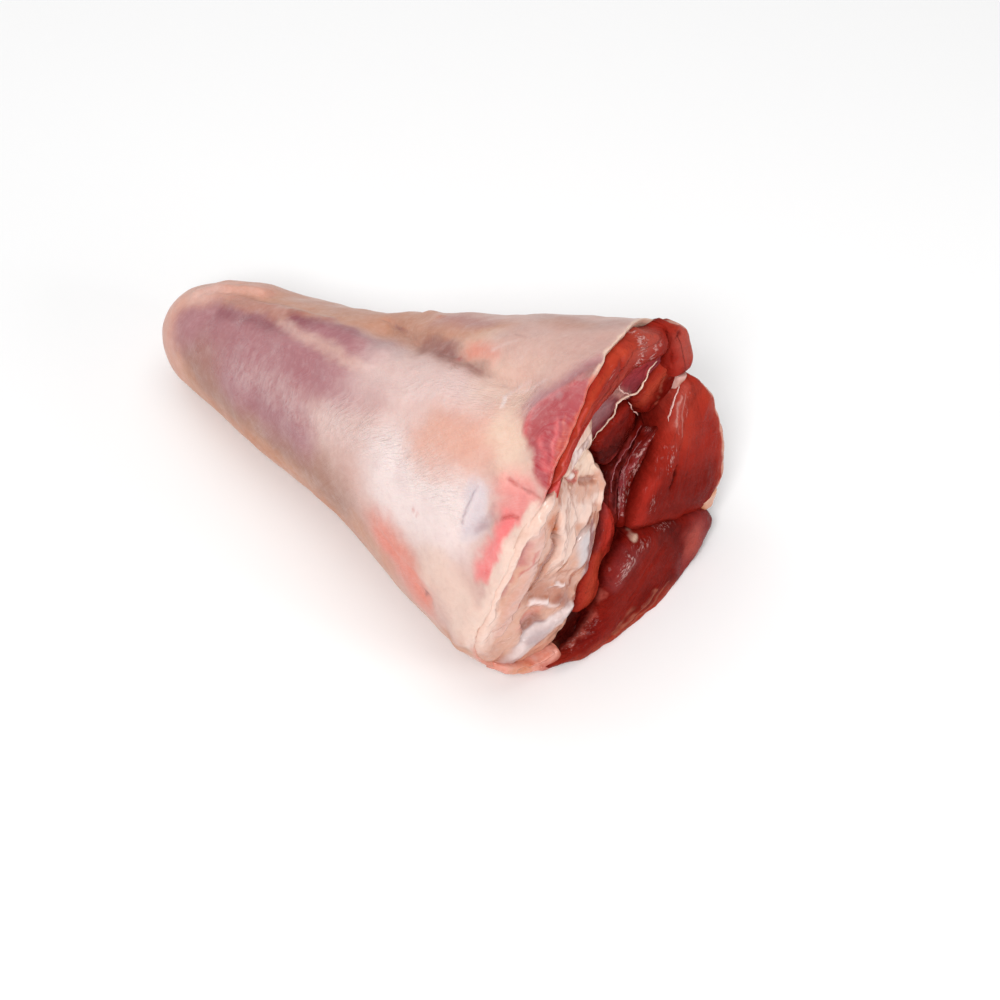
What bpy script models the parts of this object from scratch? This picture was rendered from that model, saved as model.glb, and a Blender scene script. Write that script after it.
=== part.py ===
"""A raw lamb shank: the meat, with its muscle heads standing at the cut, and the bone inside it.

Shapes are worked out in the shank's own frame, in millimetres: x runs along the bone from the
ankle end towards the cut, y runs across and z completes it. Angles round x start at +y and turn
towards +z. The last step lays the shank down on its underside, in metres.
"""
import math

import bmesh
import bpy
import numpy as np
from mathutils import Matrix

MM = 0.001

# Driving dimensions, millimetres and degrees
CUT_AT = 136.0          # from the ankle tip to the plane of the cut
ANKLE_CAP = 11.0        # length of the rounded ankle end
LEAN = 13.5             # the axis rises towards the wide end when the shank lies down
AXIS_HEIGHT = 9.4       # height of the axis over the table at the ankle tip
SAG = 0.7               # softness of the flat spots that its weight presses
CLEARANCE = 0.35        # between the bone and the meat round it

# Reach of the skin from the axis, as (place along the shank, reach), on four sides
UPPER_SIDE = 36.0       # the other sides follow at quarter turns
UPPER_REACH = [(0, 11.5), (20, 15.5), (45, 17.8), (75, 22.6), (105, 32.2), (136, 40.6)]
FRONT_REACH = [(0, 12), (20, 17), (45, 22), (75, 27), (105, 32), (136, 36)]
LOWER_REACH = [(0, 9.5), (20, 15.8), (45, 22.8), (75, 30.6), (105, 42.7), (122, 47.5), (136, 45.5)]
REAR_REACH = [(0, 12), (20, 16), (45, 20), (75, 26), (105, 35), (136, 42)]

# Height of the skin's edge past the plane of the cut, as (angle, height)
SKIN_EDGE = [(0, -1.5), (15, -4), (32, -3.5), (48, -0.5), (63, 2), (95, 4.5), (125, 6.5), (140, 6),
             (160, 2), (182, -4), (204, -11.5), (215, -12.5), (236, -8), (250, -4), (270, -1.5),
             (300, -1), (312, -3), (330, -1)]

# Relief of the skin: (rise, half width, path of (place along the shank, angle))
SKIN_RELIEF = [
    (1.3, 5.0, [(18, 72), (28, 68)]),                            # knob over the heel tendon
    (0.8, 3.0, [(24, 98), (40, 96), (60, 98), (79, 101)]),       # tendon
    (0.7, 2.2, [(37, 111), (69, 121), (94, 124)]),               # seam between the calf muscles
    (-2.4, 6.0, [(75, 89), (88, 92), (100, 96), (113, 101), (123, 102)]),  # valley beside the calf
    (1.2, 6.0, [(74, 56), (88, 57)]),                            # top of the shin muscle
    (-4.5, 4.5, [(106, 12), (122, 14), (138, 16)]),              # groove between two rear muscles
    (-3.5, 4.5, [(112, 313), (124, 312), (138, 312)]),           # groove below the broad rear muscle
    (1.1, 2.2, [(134, 158), (131, 172), (128, 182), (125, 190), (119, 204)]),  # knee ligament
]

# Muscle heads at the cut: left edge, right edge, each (y, z, height past the plane of the cut)
FLOOR_OF_CUT = -11.0    # how deep the hollows between the muscle heads reach
ROOT_OF_HEAD = -17.0    # how deep a head is rooted in the meat
ROOT_SCALE = 0.80       # heads narrow towards the axis at their roots
MUSCLES = {
    "outer_upper": dict(
        left=[(28, 28.6, 1.5), (17.5, 34.9, 3), (2.8, 36.5, 4.5), (-9, 34.2, 6),
              (-18.3, 30.2, 6.5), (-23, 23.5, 5)],
        right=[(27.7, 21.7, 1), (21, 20.5, -1), (8.8, 20.6, -2), (-0.3, 19.8, -2),
               (-10.8, 18.6, -1), (-19.3, 19, 2)],
        drop=4.0, crown=1.6),
    "upper_lobe": dict(
        left=[(27.6, 29.6, 0.5), (25.6, 26, 1.5), (25.9, 19.5, 1.5), (28.2, 12.6, 0)],
        right=[(31.4, 27.0, 0.5), (34.2, 20.5, 1), (34.6, 14, 1), (33, 9.6, 0)],
        drop=3.5, crown=1.2),
    "inner_upper": dict(
        left=[(30, 13.9, -4), (25.5, 13.4, -5), (21, 11.2, -6), (17.9, 9.2, -6.5)],
        right=[(32, 10.5, -4), (33.2, 2.6, -5), (30, -1.8, -6), (21.6, 3.0, -7)],
        drop=2.5, crown=1.4),
    "inner_middle": dict(
        left=[(17.7, 9.6, -6.5), (11.4, 12.1, -6), (4.1, 11.9, -5), (-0.8, 8.6, -5)],
        right=[(20.8, 2.5, -7), (16.9, 1.4, -7), (9.6, 1.8, -6), (1.4, 2.6, -5)],
        drop=2.5, crown=1.2),
    "deep_band": dict(
        left=[(25, -3.8, -8), (18, -1.4, -7), (9.5, -0.2, -6), (3.4, -2.2, -5),
              (-0.6, -8.3, -5), (0.2, -17.8, -5)],
        right=[(26.2, -5.6, -8), (19, -4.2, -6.5), (10.6, -4.4, -5.5), (5.6, -7.2, -5),
               (3, -12.5, -5), (2.4, -18.8, -5.5)],
        drop=2.0, crown=1.0),
    "glossy_band": dict(
        left=[(26.4, -4.4, -7), (19, -3.8, -5.5), (10.6, -4.6, -4.5), (5.4, -7.6, -4),
              (2.9, -13.1, -4), (2.6, -20.3, -5)],
        right=[(27.4, -6, -6.5), (21.7, -7.2, -5.5), (13.8, -8.8, -4.5), (8.8, -12.6, -4),
               (6.4, -17.1, -4), (4.4, -22, -5)],
        drop=2.5, crown=1.8),
    "broad_rear": dict(
        left=[(30, 9.4, 0.5), (23, 5.2, 0), (14.9, -1.1, 0), (8.4, -5.9, 0),
              (4.8, -12.5, 0), (6.4, -19.4, 0.5)],
        right=[(34, 8.8, 0.5), (39.8, -2.2, 1), (41.4, -10.9, 1.5), (39.5, -19.4, 1.5),
               (34.2, -26, 1), (25.6, -27.9, 0.5)],
        drop=4.0, crown=1.6),
    "lower_rear": dict(
        left=[(12.5, -23.8, 0.5), (1.2, -19.6, 0), (-7.4, -20.9, -0.5), (-12.6, -25.4, -1.5),
              (-19, -31.4, -3.5), (-24.4, -34, -6)],
        right=[(26.5, -30, 0.5), (29, -37.5, 1.5), (16.5, -42.6, 1), (0.2, -42.4, 0),
               (-15.7, -41, -2.5), (-26, -37.6, -6)],
        drop=4.0, crown=2.4),
    "strip_by_bone": dict(
        left=[(-1.6, -5.6, -4), (-4.8, -12.2, -4), (-10.5, -16.2, -4), (-14, -23.4, -5),
              (-14.6, -28.2, -6)],
        right=[(1.6, -12.1, -5), (0.5, -18.9, -5), (-3.4, -24.3, -5), (-8, -29.8, -6), (-11.6, -31.6, -7)],
        drop=2.0, crown=1.2),
}

# Rim of the joint end, once round, as (y, z, height past the plane of the cut)
JOINT_RIM = [(-3, 16, -3), (-0.5, 9, -3), (1.2, 1, -3), (-3, -7, -3), (-8, -14.5, -3), (-14, -21, -4),
             (-17, -28, -6), (-22, -33.5, -8.5), (-29, -33, -11), (-35.5, -25, -12), (-37.5, -16.5, -11),
             (-36.5, -8, -7.5), (-34.8, 3, -2.5), (-31.8, 11.5, 1.5), (-27, 17.6, 3.5), (-21.5, 18.6, 3.5),
             (-16.5, 17.6, 1.5), (-10, 17.8, -1)]
JOINT_CROWN = 4.0
BULGE_OF_FACE = 0.6     # share of the crown that swells the face between its middle and its rim
JOINT_RELIEF = [   # (rise, half width, path of (y, z)) on the joint's face
    (-3.0, 2.6, [(-22, 12), (-22.2, 2), (-25.7, -3), (-27.6, -9)]),     # cleft behind the ligament
    (-2.2, 2.6, [(-28.5, -17), (-27, -25)]),                            # pit in the lower half
    (1.5, 2.0, [(-33, -26), (-27, -28.2), (-20, -26.5)]),               # cartilage lip below it
    (1.6, 3.0, [(-15.5, 6), (-12.5, -3), (-12, -11)]),                  # cartilage plate
    (-1.8, 2.2, [(-26, -13), (-18, -18)]),                              # hollow across the joint
    (1.4, 2.4, [(-29.5, 13), (-31.5, 2), (-32, -9)]),                   # front ridge
]
# Shaft sections below the joint: (place along the shank, share of the joint's outline, radius)
BONE_SECTIONS = [(113, 0.78, 9.5), (101, 0.52, 9), (88, 0.28, 8.5), (74, 0.08, 8), (56, 0, 7.4),
                 (36, 0, 7), (20, 0, 6.8)]
OFFSET_LEAD = 1.25      # the shaft swings to the joint's middle ahead of its flare
BONE_TIP = 15.0
SHAFT_CENTRE = (-3.0, -3.0)
JOINT_NECK = 119.0      # place along the shank where the joint's walls end
JOINT_WALLS = [(1.0, 0.9), (0.5, 0.97), (0.0, 1.0)]   # (share of the way to the neck, scale of the rim)
POCKET_RUN = 30.0       # how far the pocket's cutter runs past the rim

# Rings of the hollow behind the heads: (inset from the skin, share of what is left, share of the depth)
HOLLOW_STEPS = [(1.3, 1, 0), (3, 1, 0.12), (6.5, 1, 0.3), (11, 1, 0.55), (14, 1, 0.95),
                (14, 0.6, 1), (14, 0.3, 1)]

# How fine the faceted surfaces are
SKIN_STEPS = (54, 30)
RINGS_TO_ANKLE = 1.15   # above 1, rings are closer together at the ankle
MUSCLE_STEPS = (17, 11)
SHOULDER = 0.7          # below 1, a head is flatter on top with rounder shoulders
END_FALL = (5, 0.4)     # powers that keep a head's height along it and drop it at both ends
BONE_STEPS = 40
CAP_RINGS = 6


def smooth(keys, at):
    """Cubic curve through (place, value) keys, level with its neighbours' slope at each key."""
    places, values = np.array(keys, float).T
    slopes = np.gradient(values, places)
    i = np.clip(np.searchsorted(places, at, side="right") - 1, 0, len(places) - 2)
    span = places[i + 1] - places[i]
    s = np.clip((at - places[i]) / span, 0, 1)
    return ((2 * s**3 - 3 * s**2 + 1) * values[i] + (s**3 - 2 * s**2 + s) * span * slopes[i]
            + (3 * s**2 - 2 * s**3) * values[i + 1] + (s**3 - s**2) * span * slopes[i + 1])


def smooth_path(points, at):
    """The same curve through points, with `at` from 0 at the first to 1 at the last."""
    places = np.linspace(0, 1, len(points))
    return np.stack([smooth(list(zip(places, column)), at) for column in zip(*points)], -1)


def smooth_ring(keys, at, turn):
    """The same curve, closed: it repeats every `turn`."""
    lead = [(place - turn, value) for place, value in keys[-3:]]
    tail = [(place + turn, value) for place, value in keys[:3]]
    return smooth(lead + list(keys) + tail, at)


def distance_to_path(u, v, path):
    """Distance in the plane from points (u, v) to a path of straight runs."""
    nearest = np.full(np.shape(u), 1e9)
    for (u0, v0), (u1, v1) in zip(path[:-1], path[1:]):
        run_u, run_v = u1 - u0, v1 - v0
        share = np.clip(((u - u0) * run_u + (v - v0) * run_v) / (run_u**2 + run_v**2), 0, 1)
        nearest = np.minimum(nearest, np.hypot(u - u0 - share * run_u, v - v0 - share * run_v))
    return nearest


def reach(x, angle):
    """Distance from the axis to the skin: four quarter ellipses, a rounded ankle end and relief."""
    cap = np.sqrt(np.clip(1 - (1 - np.minimum(x / ANKLE_CAP, 1)) ** 2, 0, 1))
    turned = angle - math.radians(UPPER_SIDE)
    c, s = np.cos(turned), np.sin(turned)
    along = np.where(c > 0, smooth(UPPER_REACH, x), smooth(LOWER_REACH, x))
    beside = np.where(s > 0, smooth(FRONT_REACH, x), smooth(REAR_REACH, x))
    plain = 1 / np.sqrt((c / along) ** 2 + (s / beside) ** 2)
    relief = np.zeros_like(plain)
    degrees = np.degrees(angle) % 360
    for rise, half_width, path in SKIN_RELIEF:
        middle = np.mean([place for place, _ in path])
        arc = math.radians(1) * float(smooth(FRONT_REACH, middle))   # millimetres for each degree
        away = distance_to_path(x, degrees * arc, [(place, turn * arc) for place, turn in path])
        relief += rise * np.exp(-(away / half_width) ** 2)
    return (plain + relief) * cap


def around(x, r, angle):
    """Points at radius r and an angle round the axis."""
    return np.stack([x + 0 * r, r * np.cos(angle), r * np.sin(angle)], -1)


def lay_down(points):
    """From the shank's frame to the table: the axis leans, and the underside is pressed flat."""
    x, y, z = points[..., 0], points[..., 1], points[..., 2]
    lean = math.radians(LEAN)
    height = x * math.sin(lean) + z * math.cos(lean) + AXIS_HEIGHT
    pressed = np.where(height > SAG, height, np.maximum(height + SAG, 0) ** 2 / (4 * SAG))
    return np.stack([x * math.cos(lean) - z * math.sin(lean), y, pressed], -1)


def solid(name, rings, start=None, end=None):
    """Closed mesh object over rings of points; each end is a single point or a flat face."""
    mesh = bmesh.new()
    loops = [[mesh.verts.new(point * MM) for point in lay_down(ring)] for ring in rings]
    count = len(loops[0])
    for near, far in zip(loops[:-1], loops[1:]):
        for i in range(count):
            j = (i + 1) % count
            mesh.faces.new((near[i], near[j], far[j], far[i]))
    for loop, tip in ((loops[0], start), (loops[-1], end)):
        if tip is None:
            mesh.faces.new(loop)
            continue
        centre = mesh.verts.new(lay_down(np.array(tip, float)) * MM)
        for i in range(count):
            mesh.faces.new((loop[i], loop[(i + 1) % count], centre))
    bmesh.ops.triangulate(mesh, faces=mesh.faces[:])
    bmesh.ops.recalc_face_normals(mesh, faces=mesh.faces[:])
    data = bpy.data.meshes.new(name)
    mesh.to_mesh(data)
    mesh.free()
    made = bpy.data.objects.new(name, data)
    bpy.context.scene.collection.objects.link(made)
    return made


def body():
    """Skin from the ankle tip to its edge at the cut, then the hollow that the heads stand in."""
    around_steps, along_steps = SKIN_STEPS
    angle = np.arange(around_steps) * 2 * math.pi / around_steps
    edge = CUT_AT + smooth_ring(SKIN_EDGE, np.degrees(angle), 360)
    rings = []
    for share in np.linspace(0, 1, along_steps + 1)[1:] ** RINGS_TO_ANKLE:
        x = edge * share
        rings.append(around(x, reach(x, angle), angle))
    rim = reach(edge, angle)
    floor = CUT_AT + FLOOR_OF_CUT
    for inset, share, sink in HOLLOW_STEPS:
        rings.append(around(edge + (floor - edge) * sink, (rim - inset) * share, angle))
    return solid("meat", rings, start=(0, 0, 0), end=(floor, 0, 0))


def muscle_head(name, left, right, drop, crown):
    """A head between two edges: round-shouldered across, falling off at both ends, rooted below."""
    rows, columns = MUSCLE_STEPS
    left_edge, right_edge = (smooth_path(edge, np.linspace(0, 1, rows)) for edge in (left, right))
    sweep = np.linspace(math.pi, 0, columns)
    across = 0.5 + 0.5 * np.sign(np.cos(sweep)) * np.abs(np.cos(sweep)) ** SHOULDER
    dome = np.sin(sweep) ** SHOULDER
    rings = []
    for share, start, stop in zip(np.linspace(-1, 1, rows), left_edge, right_edge):
        fall = (1 - abs(share) ** END_FALL[0]) ** END_FALL[1]
        top = start + (stop - start) * across[:, None]
        height = top[:, 2] - drop + (drop + crown) * dome * fall
        ring = np.stack([CUT_AT + height, top[:, 0], top[:, 1]], -1)
        root = ring[[-1, 0]] * [0, ROOT_SCALE, ROOT_SCALE] + [CUT_AT + ROOT_OF_HEAD, 0, 0]
        rings.append(np.concatenate([ring, root]))
    return solid(name, rings)


def joint_outline(grow):
    """Rim of the joint end, evenly spaced, moved outwards by `grow`."""
    share = np.arange(BONE_STEPS) / BONE_STEPS
    places = np.arange(len(JOINT_RIM)) / len(JOINT_RIM)
    y, z, height = (smooth_ring(list(zip(places, column)), share, 1) for column in zip(*JOINT_RIM))
    outline = np.stack([y, z], -1)
    centre = outline.mean(0)
    away = outline - centre
    return centre, outline + grow * away / np.linalg.norm(away, axis=1)[:, None], height


def bone(name, grow=0.0, open_top=False):
    """Shaft, flared joint end and the joint's face; `grow` and an open top make its pocket."""
    centre, outline, height = joint_outline(grow)
    away = outline - centre
    angle = np.arctan2(away[:, 1], away[:, 0])
    rings = []
    for x, share, radius in reversed(BONE_SECTIONS):
        middle = np.array(SHAFT_CENTRE) + (centre - SHAFT_CENTRE) * min(1, share * OFFSET_LEAD)
        shaft = np.stack([np.cos(angle), np.sin(angle)], -1) * (radius + grow)
        section = middle + shaft * (1 - share) + away * share
        rings.append(np.column_stack([np.full(BONE_STEPS, float(x)), section]))
    for share, scale in JOINT_WALLS:
        x = CUT_AT + height + (JOINT_NECK - CUT_AT - height) * share
        rings.append(np.column_stack([x, centre + away * scale]))
    tip = (BONE_TIP - grow, *SHAFT_CENTRE)
    if open_top:
        rings.append(rings[-1] + [POCKET_RUN, 0, 0])
        return solid(name, rings, start=tip, end=(CUT_AT + POCKET_RUN, *centre))
    face_height = float(height.mean()) + JOINT_CROWN
    for k in range(1, CAP_RINGS):
        share = 1 - k / CAP_RINGS
        spot = centre + away * share
        crown = height * share + face_height * (1 - share) + JOINT_CROWN * BULGE_OF_FACE * (share - share**4)
        for rise, half_width, path in JOINT_RELIEF:
            away_from_path = distance_to_path(spot[:, 0], spot[:, 1], path)
            crown = crown + rise * np.exp(-(away_from_path / half_width) ** 2)
        rings.append(np.column_stack([CUT_AT + crown, spot]))
    return solid(name, rings, start=tip, end=(CUT_AT + face_height, *centre))


def join_and_cut(main, others, cutter):
    """Unite the main body with the others, then cut the pocket, and remove what is used up."""
    group = bpy.data.collections.new("heads")
    for other in others:
        group.objects.link(other)
    union = main.modifiers.new("union", "BOOLEAN")
    union.operation = "UNION"
    union.operand_type = "COLLECTION"
    union.collection = group
    union.solver = "MANIFOLD"
    cut = main.modifiers.new("pocket", "BOOLEAN")
    cut.operation = "DIFFERENCE"
    cut.object = cutter
    cut.solver = "MANIFOLD"
    apply_modifiers(main)
    for used in others + [cutter]:
        bpy.data.objects.remove(used)
    bpy.data.collections.remove(group)


def apply_modifiers(thing):
    """Replace an object's mesh by the result of its modifiers."""
    shape = bpy.data.meshes.new_from_object(thing.evaluated_get(bpy.context.evaluated_depsgraph_get()))
    thing.modifiers.clear()
    thing.data = shape


def keep_largest(thing):
    """Drop loose scraps, and fill hollows that the union sealed, by keeping only the outer shell."""
    mesh = bmesh.new()
    mesh.from_mesh(thing.data)
    left = set(mesh.verts)
    shells = []
    while left:
        shell = grow = {left.pop()}
        while grow:
            grow = {edge.other_vert(vertex) for vertex in grow for edge in vertex.link_edges} & left
            left -= grow
            shell = shell | grow
        shells.append(shell)
    largest = max(shells, key=len)
    bmesh.ops.delete(mesh, geom=[v for v in mesh.verts if v not in largest], context="VERTS")
    mesh.to_mesh(thing.data)
    mesh.free()


def finish(thing, colour, roughness):
    """Material and smooth shading."""
    material = bpy.data.materials.new(thing.name)
    material.use_nodes = True
    shader = material.node_tree.nodes["Principled BSDF"]
    shader.inputs["Base Color"].default_value = (*colour, 1)
    shader.inputs["Roughness"].default_value = roughness
    shader.inputs["Metallic"].default_value = 0
    thing.data.materials.clear()
    thing.data.materials.append(material)
    thing.data.shade_smooth()
    thing.data.set_sharp_from_angle(angle=math.radians(45))


def centre_on_table(things):
    """Move everything so that the origin is under the middle of the whole box."""
    corners = np.array([vertex.co for thing in things for vertex in thing.data.vertices])
    low, high = corners.min(0), corners.max(0)
    shift = (-(low[0] + high[0]) / 2, -(low[1] + high[1]) / 2, 0)
    for thing in things:
        thing.data.transform(Matrix.Translation(shift))


def main():
    for old in list(bpy.data.objects):
        bpy.data.objects.remove(old)
    meat = body()
    heads = [muscle_head(name, **muscle) for name, muscle in MUSCLES.items()]
    join_and_cut(meat, heads, bone("pocket", grow=CLEARANCE, open_top=True))
    keep_largest(meat)
    shank_bone = bone("bone")
    finish(meat, (0.50, 0.16, 0.13), 0.35)
    finish(shank_bone, (0.80, 0.66, 0.58), 0.4)
    centre_on_table([meat, shank_bone])


main()
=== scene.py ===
import math

import bpy
import numpy as np
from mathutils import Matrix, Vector


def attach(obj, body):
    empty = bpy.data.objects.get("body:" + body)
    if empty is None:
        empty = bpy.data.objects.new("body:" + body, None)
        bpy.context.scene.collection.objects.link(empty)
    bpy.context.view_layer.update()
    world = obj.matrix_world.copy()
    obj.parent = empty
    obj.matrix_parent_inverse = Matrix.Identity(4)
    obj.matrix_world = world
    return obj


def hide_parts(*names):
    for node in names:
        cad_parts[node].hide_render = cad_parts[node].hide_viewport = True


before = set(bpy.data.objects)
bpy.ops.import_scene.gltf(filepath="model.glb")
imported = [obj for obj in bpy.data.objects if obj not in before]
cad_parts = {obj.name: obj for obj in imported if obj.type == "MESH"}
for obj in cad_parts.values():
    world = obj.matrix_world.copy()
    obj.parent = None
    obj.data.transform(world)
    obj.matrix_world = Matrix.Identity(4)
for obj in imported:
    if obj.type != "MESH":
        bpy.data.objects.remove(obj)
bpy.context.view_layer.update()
print("frame: the packed shank is loaded")

mm = 0.001                       # the frame is in metres

# the shank's own frame, in mm: x along the bone from the ankle, angles round it from +y towards +z
shank = {
    "cutAt": 136.0,              # from the ankle tip to the plane of the cut
    "ankleCap": 11.0,            # length of the rounded ankle end
    "lean": 13.5,                # degrees that the axis rises towards the cut
    "axisHeight": 9.4,           # axis over the table at the ankle tip
    "sag": 0.7,                  # softness of the flat that its weight presses
    "place": (-71.81, 1.5),      # moves the shank's box to the middle of the frame
    "upperSide": 36.0,           # degrees that the four sides below are turned; each is (along, reach)
    "upper": [(0, 11.5), (20, 15.5), (45, 17.8), (75, 22.6), (105, 32.2), (136, 40.6)],
    "front": [(0, 12), (20, 17), (45, 22), (75, 27), (105, 32), (136, 36)],
    "lower": [(0, 9.5), (20, 15.8), (45, 22.8), (75, 30.6), (105, 42.7), (122, 47.5), (136, 45.5)],
    "rear": [(0, 12), (20, 16), (45, 20), (75, 26), (105, 35), (136, 42)],
    # rim of the skin: (angle, height past the plane of the cut)
    "edge": [(0, -7.6), (14, -8.8), (32, -5.2), (48, -3.6), (63, -0.4), (78, 1.6), (95, 4.2), (125, 6.5),
             (140, 6), (160, 2), (182, -4), (204, -11.5), (215, -12.5), (236, -8), (250, -4), (270, -1.5),
             (300, -1), (312, -3), (330, -3.8), (346, -5.6)],
    "relief": [                  # (rise, half width, path of (along, angle))
        (1.3, 5.0, [(18, 72), (28, 68)]),
        (0.8, 3.0, [(24, 98), (40, 96), (60, 98), (79, 101)]),
        (0.7, 2.2, [(37, 111), (69, 121), (94, 124)]),
        (-2.4, 6.0, [(75, 89), (88, 92), (100, 96), (113, 101), (123, 102)]),
        (1.2, 6.0, [(74, 56), (88, 57)]),
        (-4.5, 4.5, [(106, 12), (122, 14), (138, 16)]),
        (-3.5, 4.5, [(112, 313), (124, 312), (138, 312)]),
        (1.1, 2.2, [(134, 158), (131, 172), (128, 182), (125, 190), (119, 204)]),
        (-2.4, 10.0, [(130, 352), (142, 352)]),
    ],
}

# flesh tones by name, as red, green and blue of 255
tones = {
    "paleSkin": (216, 172, 160), "tanSkin": (206, 146, 118), "rosySkin": (222, 160, 142),
    "knob": (220, 160, 140), "mauve": (176, 116, 122), "deepMauve": (144, 74, 84),
    "greyMauve": (176, 140, 142), "brownSkin": (162, 108, 84), "warmEdge": (202, 132, 90),
    "sheen": (230, 198, 192), "white": (248, 228, 224), "cream": (238, 206, 184), "peach": (230, 172, 152),
    "salmon": (238, 126, 102), "dusk": (152, 96, 86), "pinkFlesh": (178, 62, 70), "redFlesh": (188, 52, 42),
    "blush": (252, 122, 122), "ligament": (240, 206, 190), "blueWhite": (224, 208, 212),
    "greyLine": (164, 138, 148), "crease": (140, 84, 82), "blood": (190, 24, 18), "oldBlood": (110, 16, 14),
    "muscle": (158, 40, 29), "brightMuscle": (184, 68, 50), "warmMuscle": (186, 68, 46),
    # the near-black pit tone is painted shade for the slot beside the joint
    "pinkMuscle": (190, 92, 80), "deepMuscle": (108, 15, 9), "darkMuscle": (58, 2, 2), "pit": (44, 2, 2),
    "mauveMuscle": (140, 56, 56), "redWall": (132, 30, 20), "orangeEdge": (208, 84, 54),
    "glint": (246, 196, 190), "film": (138, 56, 64), "paleFilm": (216, 168, 158), "fat": (242, 208, 184),
    "blushTissue": (222, 142, 122), "cartilage": (204, 184, 178), "jointBase": (212, 158, 134),
    "bluish": (200, 192, 196), "tissue": (180, 116, 92), "brownPit": (146, 80, 60), "amber": (182, 98, 52),
}


# Linear colour of a named tone: the usual sRGB curve undone.
def linear(name):
    share = np.array(tones[name], float) / 255
    return np.where(share > 0.04045, ((share + 0.055) / 1.055) ** 2.4, share / 12.92)


# Cubic between (place, value) keys, with the slope at a key taken from its neighbours.
def smooth(keys, at):
    places, values = np.array(keys, float).T
    slopes = np.gradient(values, places)
    i = np.clip(np.searchsorted(places, at, side="right") - 1, 0, len(places) - 2)
    span = places[i + 1] - places[i]
    s = np.clip((at - places[i]) / span, 0, 1)
    return ((2 * s**3 - 3 * s**2 + 1) * values[i] + (s**3 - 2 * s**2 + s) * span * slopes[i]
            + (3 * s**2 - 2 * s**3) * values[i + 1] + (s**3 - s**2) * span * slopes[i + 1])


# The same cubic through points, with `at` from 0 at the first to 1 at the last.
def smoothPath(points, at):
    places = np.linspace(0, 1, len(points))
    return np.stack([smooth(list(zip(places, column)), at) for column in zip(*points)], -1)


# The same cubic, closed: it repeats every `turn`.
def smoothRing(keys, at, turn):
    lead = [(place - turn, value) for place, value in keys[-3:]]
    tail = [(place + turn, value) for place, value in keys[:3]]
    return smooth(lead + list(keys) + tail, at)


# 0 below low, 1 above high, and a smooth step between.
def ease(value, low, high):
    s = np.clip((value - low) / (high - low), 0, 1)
    return s * s * (3 - 2 * s)


# A smooth step up over one range times a smooth step down over another.
def plateau(value, rising, falling):
    return ease(value, *rising) * (1 - ease(value, *falling))


# Distance of points to a path of straight runs, in as many dimensions as the points have.
def distance(points, path):
    path = np.array(path, float)
    nearest = np.full(points.shape[:-1], 1e9)
    for start, stop in zip(path[:-1], path[1:]):
        run = stop - start
        share = np.clip(((points - start) @ run) / max(run @ run, 1e-9), 0, 1)
        nearest = np.minimum(nearest, np.linalg.norm(points - start - share[..., None] * run, axis=-1))
    return nearest


# Stroke along a path: 1 within its half width and 0 past it, with a smooth step of `soft` each way.
def stroke(points, path, halfWidth, soft):
    return 1 - ease(distance(points, path), halfWidth - soft, halfWidth + soft)


# Bell along a path: e to the power of minus the square of distance over half width.
def bell(points, path, halfWidth):
    return np.exp(-(distance(points, path) / halfWidth) ** 2)


# Even noise from about -1 to 1: random numbers on a cubic lattice, blended, at halving sizes.
def cloud(points, size, seed, octaves=3):
    cells, shift, gain = 32, 7.3, 1.6        # lattice's side, move of each octave, makes up for averaging
    table = np.random.default_rng(seed).uniform(-1, 1, (cells, cells, cells))
    total, weight = 0.0, 0.0
    for octave in range(octaves):
        at = points / (size * 0.5**octave) + shift * (octave + 1)
        cell = np.floor(at).astype(int)
        share = at - cell
        share = share * share * (3 - 2 * share)
        value = 0.0
        for corner in range(8):
            step = np.array([corner & 1, corner >> 1 & 1, corner >> 2])
            x, y, z = np.moveaxis((cell + step) % cells, -1, 0)
            value = value + table[x, y, z] * np.prod(np.where(step == 1, share, 1 - share), -1)
        total, weight = total + value * 0.5**octave, weight + 0.5**octave
    return total / weight * gain


# Points moved about by noise of (size, amount, seed), so that painted borders are ragged.
def wander(points, noise, firstSeed=0):
    size, amount, seed = noise
    shifts = [cloud(points, size, firstSeed + seed + k) for k in range(points.shape[-1])]
    return points + amount * np.stack(shifts, -1)


# Sum of each noise of (size, rise, seed): its cloud times its rise.
def waves(points, noises, firstSeed=0):
    return sum(rise * cloud(points, size, firstSeed + seed, 2) for size, rise, seed in noises)


# Axis to skin: four quarter ellipses, a rounded ankle end, and bell-shaped relief strokes.
def skinReach(x, angle):
    cap = np.sqrt(np.clip(1 - (1 - np.minimum(x / shank["ankleCap"], 1)) ** 2, 0, 1))
    turned = angle - math.radians(shank["upperSide"])
    c, s = np.cos(turned), np.sin(turned)
    along = np.where(c > 0, smooth(shank["upper"], x), smooth(shank["lower"], x))
    beside = np.where(s > 0, smooth(shank["front"], x), smooth(shank["rear"], x))
    reach = 1 / np.sqrt((c / along) ** 2 + (s / beside) ** 2)
    degrees = np.degrees(angle) % 360
    for rise, halfWidth, path in shank["relief"]:
        arc = math.radians(1) * float(smooth(shank["front"], np.mean([place for place, _ in path])))
        flat = [(place, turn * arc) for place, turn in path]       # the skin unrolled, in mm both ways
        reach = reach + rise * bell(np.stack([x + 0 * reach, degrees * arc], -1), flat, halfWidth)
    return reach * cap


# Points of the skin at places along the shank and angles round it.
def onSkin(along, degrees):
    x, angle = np.asarray(along, float), np.radians(np.asarray(degrees, float))
    r = skinReach(x, angle)
    return np.stack([x + 0 * r, r * np.cos(angle), r * np.sin(angle)], -1)


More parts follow.
